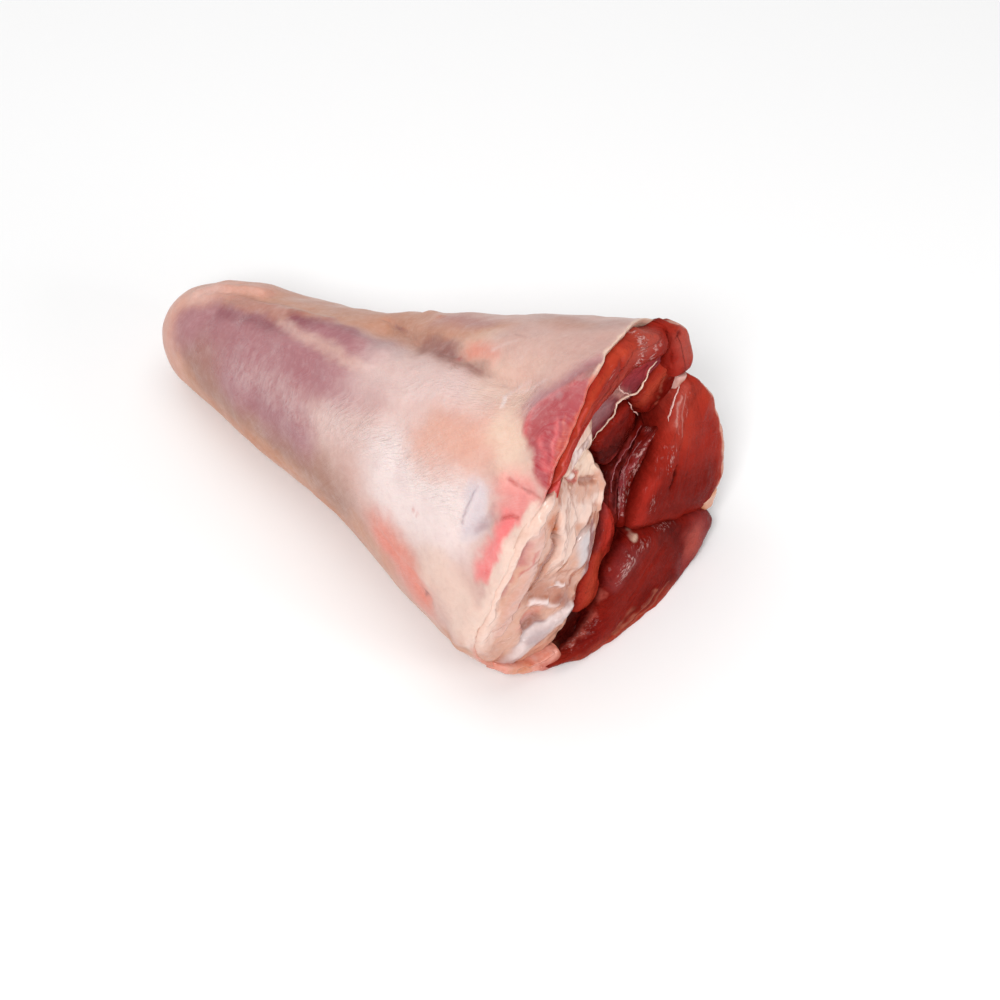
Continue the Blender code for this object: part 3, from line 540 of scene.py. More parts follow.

# edges are (y, z, height past the plane of the cut); strokes are (tone, amount, half width, softness,
# path of (y, z)), folds (rise, half width, path) and painted glints (amount, half width, softness, path)
heads = {
    "outerUpper": {
        "left": [(26.2, 27, 0.2), (19.4, 32.4, 1.6), (10.8, 35.6, 3.0), (0.5, 36.4, 3.9), (-7.2, 35.2, 4.9),
                 (-13.8, 33, 5.9), (-19.4, 29.6, 6.1), (-23.4, 23.8, 5.0)],
        "right": [(29.4, 26.4, 0.3), (26.6, 19.6, 0.4), (15.4, 24.0, 0.0), (8, 24.6, 0.2), (-0.4, 24.8, 1),
                  (-9.4, 25.4, 2.5), (-15.3, 23.8, 3.5), (-20.4, 19.4, 3.4)],
        "drop": 4.0, "crown": 1.5, "shoulder": 0.62, "grid": (250, 110), "seed": 100, "tone": "muscle",
        # painted shade: its walls darken to a shaded red with depth
        "wall": "redWall", "wallShadeDepth": (1.2, 5.5),
        "strokes": [
            ("brightMuscle", 0.8, 3, 2.5, [(22, 32), (12, 33)]),
            ("pinkMuscle", 0.45, 2.4, 2.2, [(23, 29), (16, 31)]),
            ("brightMuscle", 0.5, 2, 1.5, [(8, 28), (0, 29.5), (-8, 31)]),
            ("redFlesh", 0.9, 2.6, 2.2, [(-3, 27), (-12, 27.4), (-18, 24)]),
            # the orange line along its outer edge is partly a painted edge highlight
            ("orangeEdge", 0.35, 0.8, 0.7, [(10, 35), (0, 35.4), (-12, 32), (-19, 27.6), (-21.6, 23.6)]),
            ("redFlesh", 0.9, 1.2, 1.0, [(-12, 29.6), (-17, 27), (-20.4, 23)]),
            ("blush", 0.25, 0.3, 0.3, [(-7, 33.6), (-13, 31.2), (-19, 27.4), (-21.4, 23.6)]),
            ("blood", 0.85, 0.6, 0.5, [(-8, 26.6), (-15, 25.2), (-19.6, 21.6)]),
            ("darkMuscle", 0.75, 0.8, 0.7, [(16.4, 23.6), (14.8, 24.6)]),
            ("deepMuscle", 0.6, 1.6, 1.4, [(24, 22), (18, 24.2), (10, 25.6), (2, 26)])],
        "folds": [(-0.6, 0.7, [(28.2, 28.6), (27.6, 24), (26.8, 19)]),
                  (-0.45, 0.8, [(14, 26.4), (10, 27.6)]), (0.35, 0.6, [(6, 34.6), (-4, 33.8), (-13, 31)]),
                  (-0.35, 0.5, [(9, 36), (7, 31), (6, 27)])],
        "paintedGlints": [(0.9, 2.2, 1.6, [(17, 32), (15, 28)]), (0.7, 1.6, 1.2, [(22, 26.6), (19, 24.6)]),
                   (0.6, 1.0, 0.9, [(4, 33.6), (2, 33)]), (0.3, 0.8, 0.7, [(-13, 31.4), (-20, 26)])],
    },
    "upperLobe": {
        "left": [(28.4, 26.8, 0.2), (27.2, 23.6, 0.6), (26, 19, 0.4), (25.9, 15, 0), (27, 11.4, 0)],
        "right": [(30.4, 26.2, 0.2), (33.2, 23.8, 0.6), (35, 19.4, 0.8), (35.4, 13.8, 0.8),
                  (33.6, 8.9, 0.4)],
        "drop": 3.5, "crown": 1.5, "shoulder": 0.62, "grid": (130, 90), "seed": 110, "tone": "muscle",
        "skinEdge": ("peach", 0.75, 8, 45),
        "strokes": [
            ("brightMuscle", 0.8, 1.8, 1.6, [(32, 25), (34.2, 20), (34.6, 14)]),
            ("pinkMuscle", 0.5, 2.2, 2, [(30.6, 22), (31.6, 16)]),
            ("orangeEdge", 0.7, 1.0, 0.9, [(33.6, 24.6), (35.6, 19), (35.8, 13)]),
            ("deepMuscle", 0.7, 1.2, 1, [(26.9, 24), (26, 18), (26.2, 14)]),
            ("oldBlood", 0.7, 0.6, 0.5, [(30.2, 23.2), (29.6, 22.8)]),
            ("deepMuscle", 0.7, 1.5, 1.4, [(29, 10.6), (33, 9.4)])],
        "folds": [(-0.5, 0.6, [(27.4, 25), (26.6, 20), (26.6, 14)]),
                  (-0.5, 0.9, [(30.4, 23.4), (29.4, 22.4)])],
    },
    "innerUpper": {
        "left": [(28.6, 18.4, -1.2), (25, 16.4, -2.8), (22.6, 13.8, -3.6), (20.4, 12.2, -4.2),
                 (16.8, 11.8, -5)],
        "right": [(31, 10.4, -2.4), (30.8, 4.6, -3), (28.6, 1.6, -4), (24.4, 1.8, -5.6), (19.2, 4.6, -6.4)],
        # its dark tone is partly its own and partly painted shade of its depth in the hollow
        "crown": 1.5, "shoulder": 0.45, "grid": (150, 120), "seed": 120, "tone": "deepMuscle",
        "strokes": [
            ("warmMuscle", 0.75, 2.2, 1.8, [(27, 15), (24, 12), (21, 10)]),
            ("muscle", 0.6, 1.0, 0.9, [(28, 16.6), (24, 14.4), (19, 11)]),
            # painted shade: dark in its groove and in the gap along its lower edge
            ("darkMuscle", 0.5, 0.5, 0.5, [(27, 9), (24.6, 6.4), (22, 5)]),
            ("tissue", 0.25, 0.25, 0.25, [(26.4, 12), (25, 8), (23.6, 5)]),
            ("darkMuscle", 0.6, 1.4, 1.2, [(30, 3.6), (26, 1.6), (21, 3.4)])],
        "folds": [(-0.4, 0.5, [(28.4, 9), (25, 6), (22, 4.6)]),
                  (-0.25, 0.4, [(26.4, 13), (24, 8.6), (22.6, 5.6)])],
    },
    "innerMiddle": {
        "left": [(16.8, 12, -4.8), (11.8, 12.9, -4.9), (8.4, 12, -5), (4.6, 11.6, -5), (1.2, 10.4, -5)],
        "right": [(20.2, 3.8, -7), (16.6, 1.6, -6.8), (11.6, 1.0, -6.2), (6, 1.0, -5.6), (1.6, 4.2, -5.2)],
        # its dark tone is partly its own and partly painted shade of its depth in the hollow
        "drop": 3.0, "crown": 1.6, "shoulder": 0.42, "grid": (160, 120), "seed": 130, "tone": "deepMuscle",
        "strokes": [
            # painted shade: dark along its lower edge and, further down, in its groove
            ("darkMuscle", 0.85, 1.8, 1.5, [(1.4, 6), (5, 4.2), (11, 3.4), (16, 3.6)]),
            ("muscle", 0.55, 0.9, 0.8, [(15, 11.6), (9, 11.4), (3.6, 10.8)]),
            ("mauveMuscle", 0.5, 0.5, 0.45, [(6, 1.6), (12, 1.4), (17, 2.2)]),
            ("darkMuscle", 0.6, 0.4, 0.4, [(2, 7.4), (6, 6.4), (10, 7)])],
        "folds": [(-0.5, 0.6, [(1.4, 8), (6, 6.2), (11, 6.4), (15, 7)]),
                  (-0.3, 0.5, [(18, 9), (17, 6), (18, 4)])],
    },
    "deepBand": {
        "left": [(26.6, 0.8, -7.4), (22.4, 1.2, -7.3), (17, 0.9, -7), (11.6, 0.4, -6.4), (7, 0.4, -5.8),
                 (3.6, -0.8, -5.2), (1.2, -6, -5), (0.8, -13, -5)],
        "right": [(27.2, -2.4, -6.6), (22, -2.4, -6), (16, -3, -5.4), (11.4, -3.6, -5), (8, -6.2, -5),
                  (5.8, -11, -5), (4.6, -15.8, -5), (3.6, -19, -5.4)],
        # its near-black tone is partly its own and partly painted shade of its depth in the hollow
        "crown": 0.9, "grid": (220, 70), "seed": 140, "tone": "darkMuscle",
        "strokes": [
            ("deepMuscle", 0.8, 0.7, 0.6, [(22, 0), (14, -0.6), (8, -1.2), (4, -5), (2, -12)]),
            ("mauveMuscle", 0.55, 0.35, 0.3, [(16, -0.2), (10, -0.8), (5.6, -2.4), (3.4, -8)]),
            ("mauveMuscle", 0.5, 0.3, 0.3, [(13, -2.2), (8, -3.6), (5, -8), (3.6, -13)]),
            ("redFlesh", 0.3, 1.6, 1.6, [(2, -13), (2.2, -18)])],
        "folds": [(-0.4, 0.4, [(18, -1.2), (10, -1.6), (5, -4), (2.6, -10)]),
                  (0.35, 0.4, [(13, -2), (8, -3.2), (4.4, -8.4)])],
    },
    "glossyBand": {
        "left": [(26.4, 3.2, -2.4), (23, 1.0, -2.8), (19.2, -1.0, -3.4), (15.4, -2.2, -3.9), (10.6, -3, -4),
                 (7.6, -5.8, -4), (5.4, -10.6, -4), (4.5, -15.8, -4.5), (4.2, -19.4, -5)],
        "right": [(27, 1, -3.4), (24, -1.6, -3.6), (19.6, -4.8, -4.2), (14.6, -8.2, -4.6),
                  (10.8, -11.6, -4.8), (8.6, -15, -4.8), (7.2, -18, -5), (6, -20.4, -5.4)],
        "crown": 0.8, "shoulder": 0.7, "grid": (240, 90), "seed": 150, "tone": "deepMuscle",
        "strokes": [
            # painted shade of the dark hole at the band's top end
            ("darkMuscle", 0.85, 1.8, 1.5, [(24, 1.6), (21.4, 0.2)]),
            # the mauve along the band is a painted sheen
            ("mauveMuscle", 0.6, 0.6, 0.6, [(20, -1.6), (17, -2.8)]),
            ("mauveMuscle", 0.6, 0.8, 0.8, [(16.6, -3.4), (14, -3.6), (9.6, -5), (7, -9), (5.8, -14)]),
            ("film", 0.6, 0.35, 0.35, [(14, -3.4), (10, -4.4), (7.4, -7), (6.2, -11)]),
            ("darkMuscle", 0.45, 1.0, 1.0, [(20, -4.2), (15.6, -7), (12, -9.8), (9, -14)])],
        "folds": [(0.4, 0.5, [(24, 0.6), (18, -2.4), (13.4, -3.8), (8.8, -5.8), (6.4, -11)]),
                  (-0.4, 0.4, [(18, -4.4), (12.6, -6), (9.4, -10), (7.4, -15)])],
        "paintedGlints": [(0.8, 0.7, 0.6, [(17, -2.8), (13.4, -3.7), (9, -5.6), (6.6, -10), (5.8, -15)]),
                   (0.7, 0.5, 0.5, [(21, -1), (17, -2.8)]),
                   (0.6, 1.6, 1.4, [(14, -5.4), (10, -8), (8, -12)])],
    },
    "broadRear": {
        "left": [(31.4, 8.9, 0.2), (27.4, 6.7, 0), (23.6, 3.6, 0), (21, -1.2, 0), (16.4, -7.2, 0),
                 (11.4, -10.4, 0), (7.8, -14, 0), (4.6, -19.2, -0.2)],
        "right": [(33.2, 8.6, 0.2), (36.4, 3, 0.8), (39.0, -4.6, 1.2), (40.2, -11.4, 1.4),
                  (40.2, -17.8, 1.5), (38.8, -24, 1.5), (34.8, -29.4, 1.2), (25.6, -32, 0.6)],
        "drop": 4.0, "crown": 1.2, "shoulder": 0.42, "grid": (280, 230), "seed": 160, "tone": "muscle",
        # painted shade: its walls darken to deep red with depth
        "wall": "deepMuscle", "wallShadeDepth": (1.2, 5.0), "skinEdge": ("peach", 0.85, 8, 50),
        "strokes": [
            ("deepMuscle", 0.85, 7, 6, [(14, -15), (22, -20), (28, -24)]),
            ("warmMuscle", 0.7, 3.0, 2.6, [(38, 0), (40.4, -8), (40.6, -17), (37, -26)]),
            ("brightMuscle", 0.4, 4, 3.5, [(32, 4), (28, 0), (26, -4)]),
            ("pinkMuscle", 0.5, 1.4, 1.3, [(29.6, 6.4), (26, 3), (24.4, 0)]),
            ("orangeEdge", 0.8, 0.9, 0.8, [(39.6, -1), (41.6, -9), (41.6, -17), (38.4, -26)]),
            ("redFlesh", 0.5, 1.3, 1.1, [(13.6, -9.8), (9.8, -12.8), (6.4, -17)]),
            ("paleFilm", 0.45, 0.28, 0.28, [(27.6, 5.6), (25, 2.4), (23.8, 0)]),
            ("paleFilm", 0.35, 0.25, 0.25, [(29.4, 5), (27, 1.4), (25, -4)]),
            # painted shade in its two slits and along the gap at its lower edge
            ("darkMuscle", 0.95, 0.42, 0.3, [(21.4, -11.4), (20, -12.6), (18.2, -14.6)]),
            ("darkMuscle", 0.9, 0.38, 0.3, [(24.8, -14), (23.8, -15)]),
            ("darkMuscle", 0.5, 0.5, 0.5, [(6, -18.6), (12, -21.6), (18, -25)])],
        "folds": [(-0.6, 0.45, [(21.4, -11.4), (18.2, -14.6)]), (-0.5, 0.4, [(24.8, -14), (23.8, -15)]),
                  (-0.35, 1.2, [(30, 2), (24, -8), (17, -16)]),
                  (0.35, 1.6, [(35, 0), (29, -11), (22, -20)]),
                  (0.3, 0.5, [(28, 5.4), (23.4, -1.6), (18.6, -6.4)])],
        "paintedGlints": [(0.45, 1.0, 0.8, [(27.6, 4.6), (25.4, 1), (24, -2)]),
                   (0.75, 1.3, 1.1, [(21, -6), (19, -9)]), (0.6, 1.4, 1.2, [(13, -13.4), (10.6, -15.4)]),
                   (0.4, 0.8, 0.7, [(30, 4.6), (28, 0)])],
    },
    "lowerRear": {
        "left": [(5.2, -18.0, -0.4), (0.4, -19.8, -0.5), (-4.4, -21.0, -0.6), (-7.0, -25.4, -1.2),
                 (-10.2, -31, -2.2), (-15.2, -35.2, -3.4), (-21.4, -36.8, -5), (-27.4, -37, -7.2)],
        "right": [(27, -29.6, 0.4), (30.2, -33.6, 1), (29.6, -38.4, 1.2), (19, -42.8, 0.8),
                  (6, -44.2, -0.4), (-5.6, -43.4, -2.2), (-17, -41.6, -5), (-27.8, -37.8, -8)],
        "drop": 4.0, "crown": 1.6, "shoulder": 0.45, "grid": (300, 220), "seed": 170, "tone": "deepMuscle",
        "wallShadeDepth": (1.2, 4.0),
        "strokes": [
            # the mauve and pink on the bulge are partly its own colour and partly painted sheen
            ("mauveMuscle", 0.85, 4, 3.6, [(24, -33), (24, -37), (18, -40)]),
            ("pinkMuscle", 0.6, 2.6, 2.4, [(22, -33), (20.6, -37)]),
            ("muscle", 0.4, 4, 4, [(8, -27), (-2, -32), (-12, -36)]),
            # painted sheen: the mauve cluster of wet highlights on the upper left
            ("mauveMuscle", 0.7, 2.2, 2.0, [(1, -22.4), (-3, -23.4), (-5, -25.6)]),
            ("warmMuscle", 0.7, 2, 2, [(12, -42.5), (0, -42.6), (-12, -41), (-24, -38)]),
            ("tissue", 0.6, 1.2, 1.1, [(12, -44.6), (2, -45), (-10, -43.6), (-20, -41.4)]),
            ("tissue", 0.5, 0.3, 0.3, [(6, -38), (-2, -39.6), (-9, -40)]),
            ("tissue", 0.4, 0.3, 0.3, [(4, -35.6), (-3, -37.6), (-10, -38.4)]),
            ("tissue", 0.4, 0.25, 0.25, [(10, -38.8), (4, -40.8), (-6, -41.6)]),
            ("oldBlood", 0.7, 2, 2, [(-12, -34), (-18, -37), (-24, -38.6)]),
            ("pinkMuscle", 0.7, 0.35, 0.3, [(-8.4, -27.6), (-11.4, -31.8), (-16, -34.8), (-22, -36.4)]),
            ("darkMuscle", 0.5, 2.6, 2.4, [(12, -25), (17, -28)]),
            ("fat", 0.6, 0.55, 0.4, [(4.9, -18.8), (4, -19.4)])],
        "folds": [(-0.35, 0.6, [(6, -36.6), (-2, -38.6), (-10, -39.4)]),
                  (-0.35, 0.6, [(5, -33.6), (-4, -36.4)]), (0.4, 0.6, [(6, -37.6), (-2, -39.4), (-9, -40)]),
                  (-0.9, 2.2, [(17, -29), (19, -34), (17, -39)]),
                  (-0.4, 0.5, [(12, -27), (4, -30), (-2, -34)]), (0.8, 2.4, [(0, -22.6), (-4, -24.4)])],
        "paintedGlints": [(1.0, 1.8, 1.2, [(-0.4, -22.8), (-3.4, -24.6)]),
                   (0.7, 1.4, 1.2, [(3, -21.6), (6, -22.4)]), (0.5, 1.2, 1.0, [(11, -22), (16, -25)]),
                   (0.5, 0.7, 0.6, [(-12, -33), (-20, -36)])],
    },
    "slotShade": {               # a dark piece of painted shade at the bottom of the gap beside the joint
        "left": [(-12, -23, -7.2), (-16, -28.5, -8), (-20.5, -33.6, -9.8), (-25, -36, -11.4)],
        "right": [(-8, -29, -5.6), (-12, -34, -6.8), (-17, -37.6, -8.2), (-23, -38.8, -9.8)],
        "crown": 0.3, "grid": (90, 50), "seed": 250, "tone": "pit",
    },
    "stripByBone": {
        "left": [(1.2, -6.2, -4), (-1.2, -12, -4), (-4.8, -15.7, -4), (-9.2, -17.4, -4.3),
                 (-11.9, -21, -4.7), (-13.7, -26, -5.5), (-14.6, -30, -6.4)],
        "right": [(2.8, -9.5, -4.6), (3.4, -15.6, -4.8), (1.4, -20.9, -5), (-1, -24.4, -5.2),
                  (-3.6, -27.9, -5.4), (-6.6, -30.8, -6), (-11, -33.4, -7.2)],
        "crown": 1.2, "shoulder": 0.55, "grid": (190, 90), "seed": 180, "tone": "muscle",
        "strokes": [
            ("redFlesh", 0.6, 1.6, 1.4, [(1, -9), (0.4, -14), (-0.6, -18)]),
            ("warmMuscle", 0.7, 2, 1.8, [(-6, -19), (-9, -23), (-11, -28)]),
            ("deepMuscle", 0.7, 1.6, 1.4, [(-6, -28), (-2.4, -24), (1, -18)]),
            ("mauveMuscle", 0.7, 1.0, 1.0, [(0.4, -8), (-2.4, -12.6), (-5, -15.8)])],
        "folds": [(-0.4, 0.6, [(0.4, -12), (-4, -20), (-9, -27)]),
                  (0.3, 0.5, [(1.6, -13), (-1.6, -20), (-6, -27)])],
    },
}

# sheets, fat and tissue between the heads, made in the same way
betweenHeads = {
    "fasciaSheet": {             # the film between the upper muscle and the inner ones
        "left": [(27.6, 19.4, 0.2), (21, 22.6, -0.6), (15, 24.8, -0.8), (8, 25.4, -0.9), (-0.4, 25.6, -0.2),
                 (-8, 26, 1.2)],
        "right": [(26.4, 17.2, -1.0), (21, 16.2, -2.0), (17.2, 13.8, -3.2), (12.6, 15.0, -3.7),
                  (7.6, 12.2, -4.5), (1.6, 11, -5.2)],
        "drop": 0.4, "crown": -1.5, "shoulder": 1.0, "grid": (180, 110), "seed": 190, "tone": "film",
        "wallShadeDepth": (30, 31),
        "strokes": [
            ("redFlesh", 0.6, 2.4, 2.2, [(23, 20.6), (17, 22.6), (13, 22.6)]),
            ("pinkFlesh", 0.5, 2.6, 2, [(21, 18.6), (16, 19), (12, 20)]),
            ("paleFilm", 0.85, 1.1, 1.0, [(12, 21.8), (12.6, 18), (15.2, 14.8)]),
            ("greyMauve", 0.6, 3, 2.6, [(8, 17), (3, 17), (-1, 18)]),
            ("deepMauve", 0.8, 1.6, 1.4, [(4, 21), (-1, 22), (-6, 23.6)]),
            ("oldBlood", 0.9, 0.8, 0.6, [(17.2, 22.4), (15.2, 23.2)])],
        "folds": [(0.4, 0.5, [(22, 18.4), (14, 18), (8, 17.6)]),
                  (-0.4, 0.6, [(18, 20), (10, 20.6), (4, 20.6)]),
                  (0.3, 0.4, [(9, 15.6), (4, 15), (0, 15.4)])],
    },
    "fatPad": {
        "left": [(1, 23.2, -2.2), (-5, 25.8, 0.2), (-12, 26.4, 2.6), (-18.6, 22.6, 3.6)],
        "right": [(2.4, 10.6, -5), (-1.6, 11.4, -3.6), (-8, 14.6, -1.2), (-14.5, 17, 1.4)],
        "crown": 1.0, "grid": (140, 110), "seed": 200, "tone": "fat", "wallShadeDepth": (3, 8),
        "strokes": [
            ("blushTissue", 0.35, 4, 3.6, [(-3, 17), (-10, 20)]),
            ("blush", 0.8, 1.6, 1.4, [(-4, 24.8), (-11, 25.4), (-17, 22.6)]),
            ("blood", 0.85, 0.7, 0.6, [(-7, 26), (-13, 25.8), (-18, 22)]),
            ("white", 0.8, 2.8, 2, [(-3, 16), (-7, 18), (-10, 20)]),
            ("cream", 0.7, 1.4, 1.2, [(1, 13), (-2, 13), (-6, 15)])],
        "folds": [(0.5, 0.9, [(-3, 21), (-9, 22)]), (-0.35, 0.7, [(-1, 17), (-8, 19.4)])],
    },
    "fatWedge": {                # pale triangle where the upper lobe meets the broad muscle
        "left": [(29.8, 10, -0.6), (28.8, 8.4, -0.9), (27.8, 6.4, -1.2)],
        "right": [(32.8, 8.8, 0.1), (31, 6.9, -0.3), (28.8, 5.2, -0.9)],
        "drop": 1.5, "crown": 0.6, "grid": (60, 50), "seed": 210, "tone": "paleFilm",
        "strokes": [
            ("tissue", 0.7, 0.7, 0.7, [(33, 8.4), (30, 8)])],
    },
    "fatNotch": {                # fat in the notch between the two rear muscles
        "left": [(25.8, -28.2, 0.6), (27, -29.2, 0.4), (27.6, -31.6, 0.4)],
        "right": [(34.6, -28.4, 0.6), (33.6, -30.6, 0.4), (31.4, -33.6, 0.2)],
        "crown": 1.0, "grid": (80, 60), "seed": 220, "tone": "warmEdge", "wallShadeDepth": (0.5, 2.2),
        "strokes": [
            ("cream", 0.3, 1.2, 1.1, [(29, -29.4), (32, -29.6)]),
            ("warmEdge", 0.8, 1.6, 1.4, [(30, -31.4), (33.6, -30)])],
    },
    "bloodFold": {               # where the upper muscle, the joint and the skin meet
        "left": [(-18.6, 24.2, 3.6), (-21.6, 23.2, 4), (-24.2, 20.8, 3.8)],
        "right": [(-17.6, 20.4, 3), (-20.6, 18.6, 3.8), (-23.2, 17.2, 4)],
        "crown": 0.8, "grid": (60, 50), "seed": 230, "tone": "redFlesh",
        "strokes": [
            ("blush", 0.8, 0.5, 0.45, [(-19, 22.6), (-22.6, 20.4)])],
        "folds": [(0.4, 0.4, [(-19, 22.6), (-22.6, 20.4)])],
    },
    "lowTissue": {               # soft tissue between the joint, the lowest muscle and the skin
        "left": [(-37.4, -27.4, -11.6), (-34, -30.6, -10.8), (-29.6, -32.8, -9.6), (-25, -34, -8.2),
                 (-21.4, -34.6, -6.8)],
        "right": [(-38.2, -29.2, -11.8), (-34.4, -33.8, -10.8), (-29.8, -37.4, -9.6), (-25.4, -39.6, -8.2),
                  (-20.6, -39.4, -7)],
        "crown": 1.2, "grid": (140, 80), "seed": 240, "tone": "blushTissue",
        "strokes": [
            ("blood", 0.7, 0.6, 0.5, [(-31, -33.8), (-30, -34.4)]),
            ("warmEdge", 0.7, 1.2, 1.2, [(-35, -31.6), (-31, -34.6)]),
            ("muscle", 0.7, 1.6, 1.4, [(-26, -38.6), (-22.4, -38.4)]),
            ("paleFilm", 0.6, 0.6, 0.6, [(-28, -33.8), (-23, -34)])],
        "folds": [(0.5, 0.5, [(-30, -34), (-24, -35)]), (-0.4, 0.5, [(-33, -33), (-27, -36)])],
    },
}


# Rings across a head: a wall up from its root, a dome between its edges that rises by a power of
# the sine of its sweep, and a wall down; waves and folds lift it along its normal.
def headPiece(spec):
    rows, columns = spec["grid"]
    along = np.sin(np.linspace(-1, 1, rows) * math.pi / 2)       # from -1 to 1, denser at both ends
    left, right = (smoothPath(spec[side], (along + 1) / 2)[:, None] for side in ("left", "right"))
    sweep = np.linspace(math.pi, 0, columns)
    power = spec["shoulder"]
    across = (0.5 + 0.5 * np.sign(np.cos(sweep)) * np.abs(np.cos(sweep)) ** power)[:, None]
    high, low = spec["endFall"]
    fall = (1 - np.abs(along) ** high).clip(0, 1) ** low
    top = left + (right - left) * across
    domeRise = (spec["drop"] + spec["crown"]) * np.sin(sweep) ** power * fall[:, None]
    height = top[..., 2] - spec["drop"] + domeRise
    dome = np.stack([shank["cutAt"] + height, top[..., 0], top[..., 1]], -1)
    walls = []
    up = np.linspace(0, 1, spec["wallRows"] + 1)[:-1, None]
    for side in (dome[:, :1], dome[:, -1:]):
        root = side * [0, spec["rootScale"], spec["rootScale"]] + [shank["cutAt"] + spec["rootAt"], 0, 0]
        walls.append(root + (side - root) * up)
    points = np.concatenate([walls[0], dome, walls[1][:, ::-1]], 1)
    level = shank["cutAt"] + (left[..., 2] + right[..., 2]) / 2
    ridge = ease(points[..., 0] - level, *spec["reliefFrom"])
    normal = gridNormals(points, points.mean((0, 1)))
    lift = waves(points, spec["waves"], spec["seed"])
    moved = wander(points, spec["foldWander"], spec["seed"])[..., 1:]
    for rise, halfWidth, path in spec["folds"]:
        lift = lift + rise * bell(moved, path, halfWidth)
    ends = ease(1 - np.abs(along), 0, spec["endEase"])[:, None]
    return points + normal * (lift * ridge * ends)[..., None], level


# Tones of a head: its own, its strokes, the edge of its skin, and painted shade darkening its walls
# and floor with depth; masks of gloss and painted glints; and the place of its grain: along, across and down
# it.
def headValues(points, level, spec):
    moved = wander(points, spec["wander"], spec["seed"])[..., 1:]
    colour = paint(np.broadcast_to(linear(spec["tone"]), points.shape), moved, spec["strokes"])
    size, amount, seed = spec["edgeWander"]
    sweep = 180 * (1 - (np.arange(points.shape[1]) - spec["wallRows"]) / (spec["grid"][1] - 1))
    sweep = sweep + amount * cloud(points, size, spec["seed"] + seed)
    tone, amount, low, high = spec["skinEdge"]
    soft = spec["edgeEase"]
    colour = blend(colour, tone, amount * plateau(sweep, (low - soft, low), (high - soft, high + soft)))
    # painted shade: walls and floor darken with their depth below the head's edges
    sunk = level - points[..., 0]
    wall = ease(sunk, *spec["wallShadeDepth"])
    colour = blend(colour, spec["wall"], wall)
    colour = blend(colour, spec["floorTone"], ease(sunk, *spec["floorShadeDepth"]))
    middles = points.mean(1)
    way = points - middles[:, None]
    run = np.cumsum(np.linalg.norm(np.diff(middles, axis=0), axis=-1))
    aside = np.linalg.norm(way, axis=-1) * np.sign(way[..., 1] + way[..., 2] * spec["acrossLean"])
    place = np.stack([np.broadcast_to(np.concatenate([[0], run])[:, None], sunk.shape), aside, sunk], -1)
    # masks of painted glints: pale highlights painted along their paths
    paintedGlints = 0 * sunk
    for amount, halfWidth, soft, path in spec["paintedGlints"]:
        paintedGlints = np.maximum(paintedGlints, amount * stroke(moved, path, halfWidth, soft))
    film = np.stack([1 - wall, paintedGlints * (1 - wall), 0 * sunk], -1)
    return {"tone": colour, "film": film, "place": place}


strandShape = {
    "sides": 10, "rowsPerPoint": 16, "ends": 0.01, "taper": 0.4,
    "wander": (1.6, 0.3, 400), "uneven": (1.4, 0.35, 410),                  # (size, amount, seed)
}

strands = {                      # tone, radius and path of (y, z, height past the plane of the cut)
    "fasciaEdge": ("cream", 0.25, [(24, 19.4, -0.8), (22, 18, -1.4), (20.4, 16.5, -1.8), (18.9, 15, -2.3),
        (17.2, 14.3, -2.8), (14.8, 15.3, -3), (12.9, 15.8, -3.2), (11.3, 15.2, -3.6), (9.7, 13.9, -3.8),
        (8, 12.8, -4.2), (5, 12.6, -4.3), (2, 11.7, -4.8)]),
    "fasciaBranch": ("paleFilm", 0.2, [(15.4, 14.6, -3), (14.2, 17, -2.6), (12.4, 18.6, -2.2),
        (11.6, 21, -1.8), (10.6, 23.4, -1.4)]),
    "bandTick": ("paleFilm", 0.18, [(15.6, 12.4, -3.8), (16.9, 8.6, -4.6), (18.8, 5.2, -5.2)]),
    "wallLine": ("paleFilm", 0.22, [(28.8, 8.2, 0), (27.2, 6.8, 0.2), (25.2, 5.1, 0.2), (23.6, 3.3, 0.2),
        (22.8, 1.8, 0.1)]),
    "bandLineOne": ("film", 0.16, [(20, 0.6, -5.8), (14, -0.4, -5.2), (9, -0.6, -4.6), (5.6, -2, -4.2),
        (3.8, -6, -4)]),
    "bandLineTwo": ("film", 0.13, [(19, -1.7, -4.8), (13.6, -2, -4.2), (9.6, -3, -3.6), (7, -5.8, -3.4),
        (5, -10.4, -3.4), (4, -15, -3.8)]),
    "padEdge": ("blush", 0.3, [(-7, 26.2, 1.4), (-12.4, 26.4, 3), (-17, 24, 3.8), (-20, 20.8, 3.6)]),
}


# A strand: rings round a path, as wide as a power of the sine of the share of its length.
def strandShell(tone, radius, path):
    spots = smoothPath(path, np.linspace(0, 1, strandShape["rowsPerPoint"] * len(path)))
    spine = wander(spots[:, [2, 0, 1]] + [shank["cutAt"], 0, 0], strandShape["wander"])
    forward = np.gradient(spine, axis=0)
    forward /= np.linalg.norm(forward, axis=-1, keepdims=True)
    beside = np.cross(forward, [1.0, 0, 0])              # a strand lies flat on the cut
    beside /= np.linalg.norm(beside, axis=-1, keepdims=True)
    above = np.cross(beside, forward)
    turn = np.linspace(0, 2 * math.pi, strandShape["sides"], endpoint=False)[:, None]
    share = np.linspace(strandShape["ends"], 1 - strandShape["ends"], len(spine))
    size, amount, seed = strandShape["uneven"]
    width = radius * np.sin(math.pi * share) ** strandShape["taper"] * (1 + amount * cloud(spine, size, seed))
    ring = np.cos(turn) * beside[:, None] + np.sin(turn) * above[:, None]
    points = spine[:, None] + ring * width[:, None, None]
    values = {"tone": np.broadcast_to(linear(tone), points.shape),
              "film": np.ones(points.shape) * [1, 0, 0], "place": points[..., [1, 2, 0]]}
    return points, values, None, None


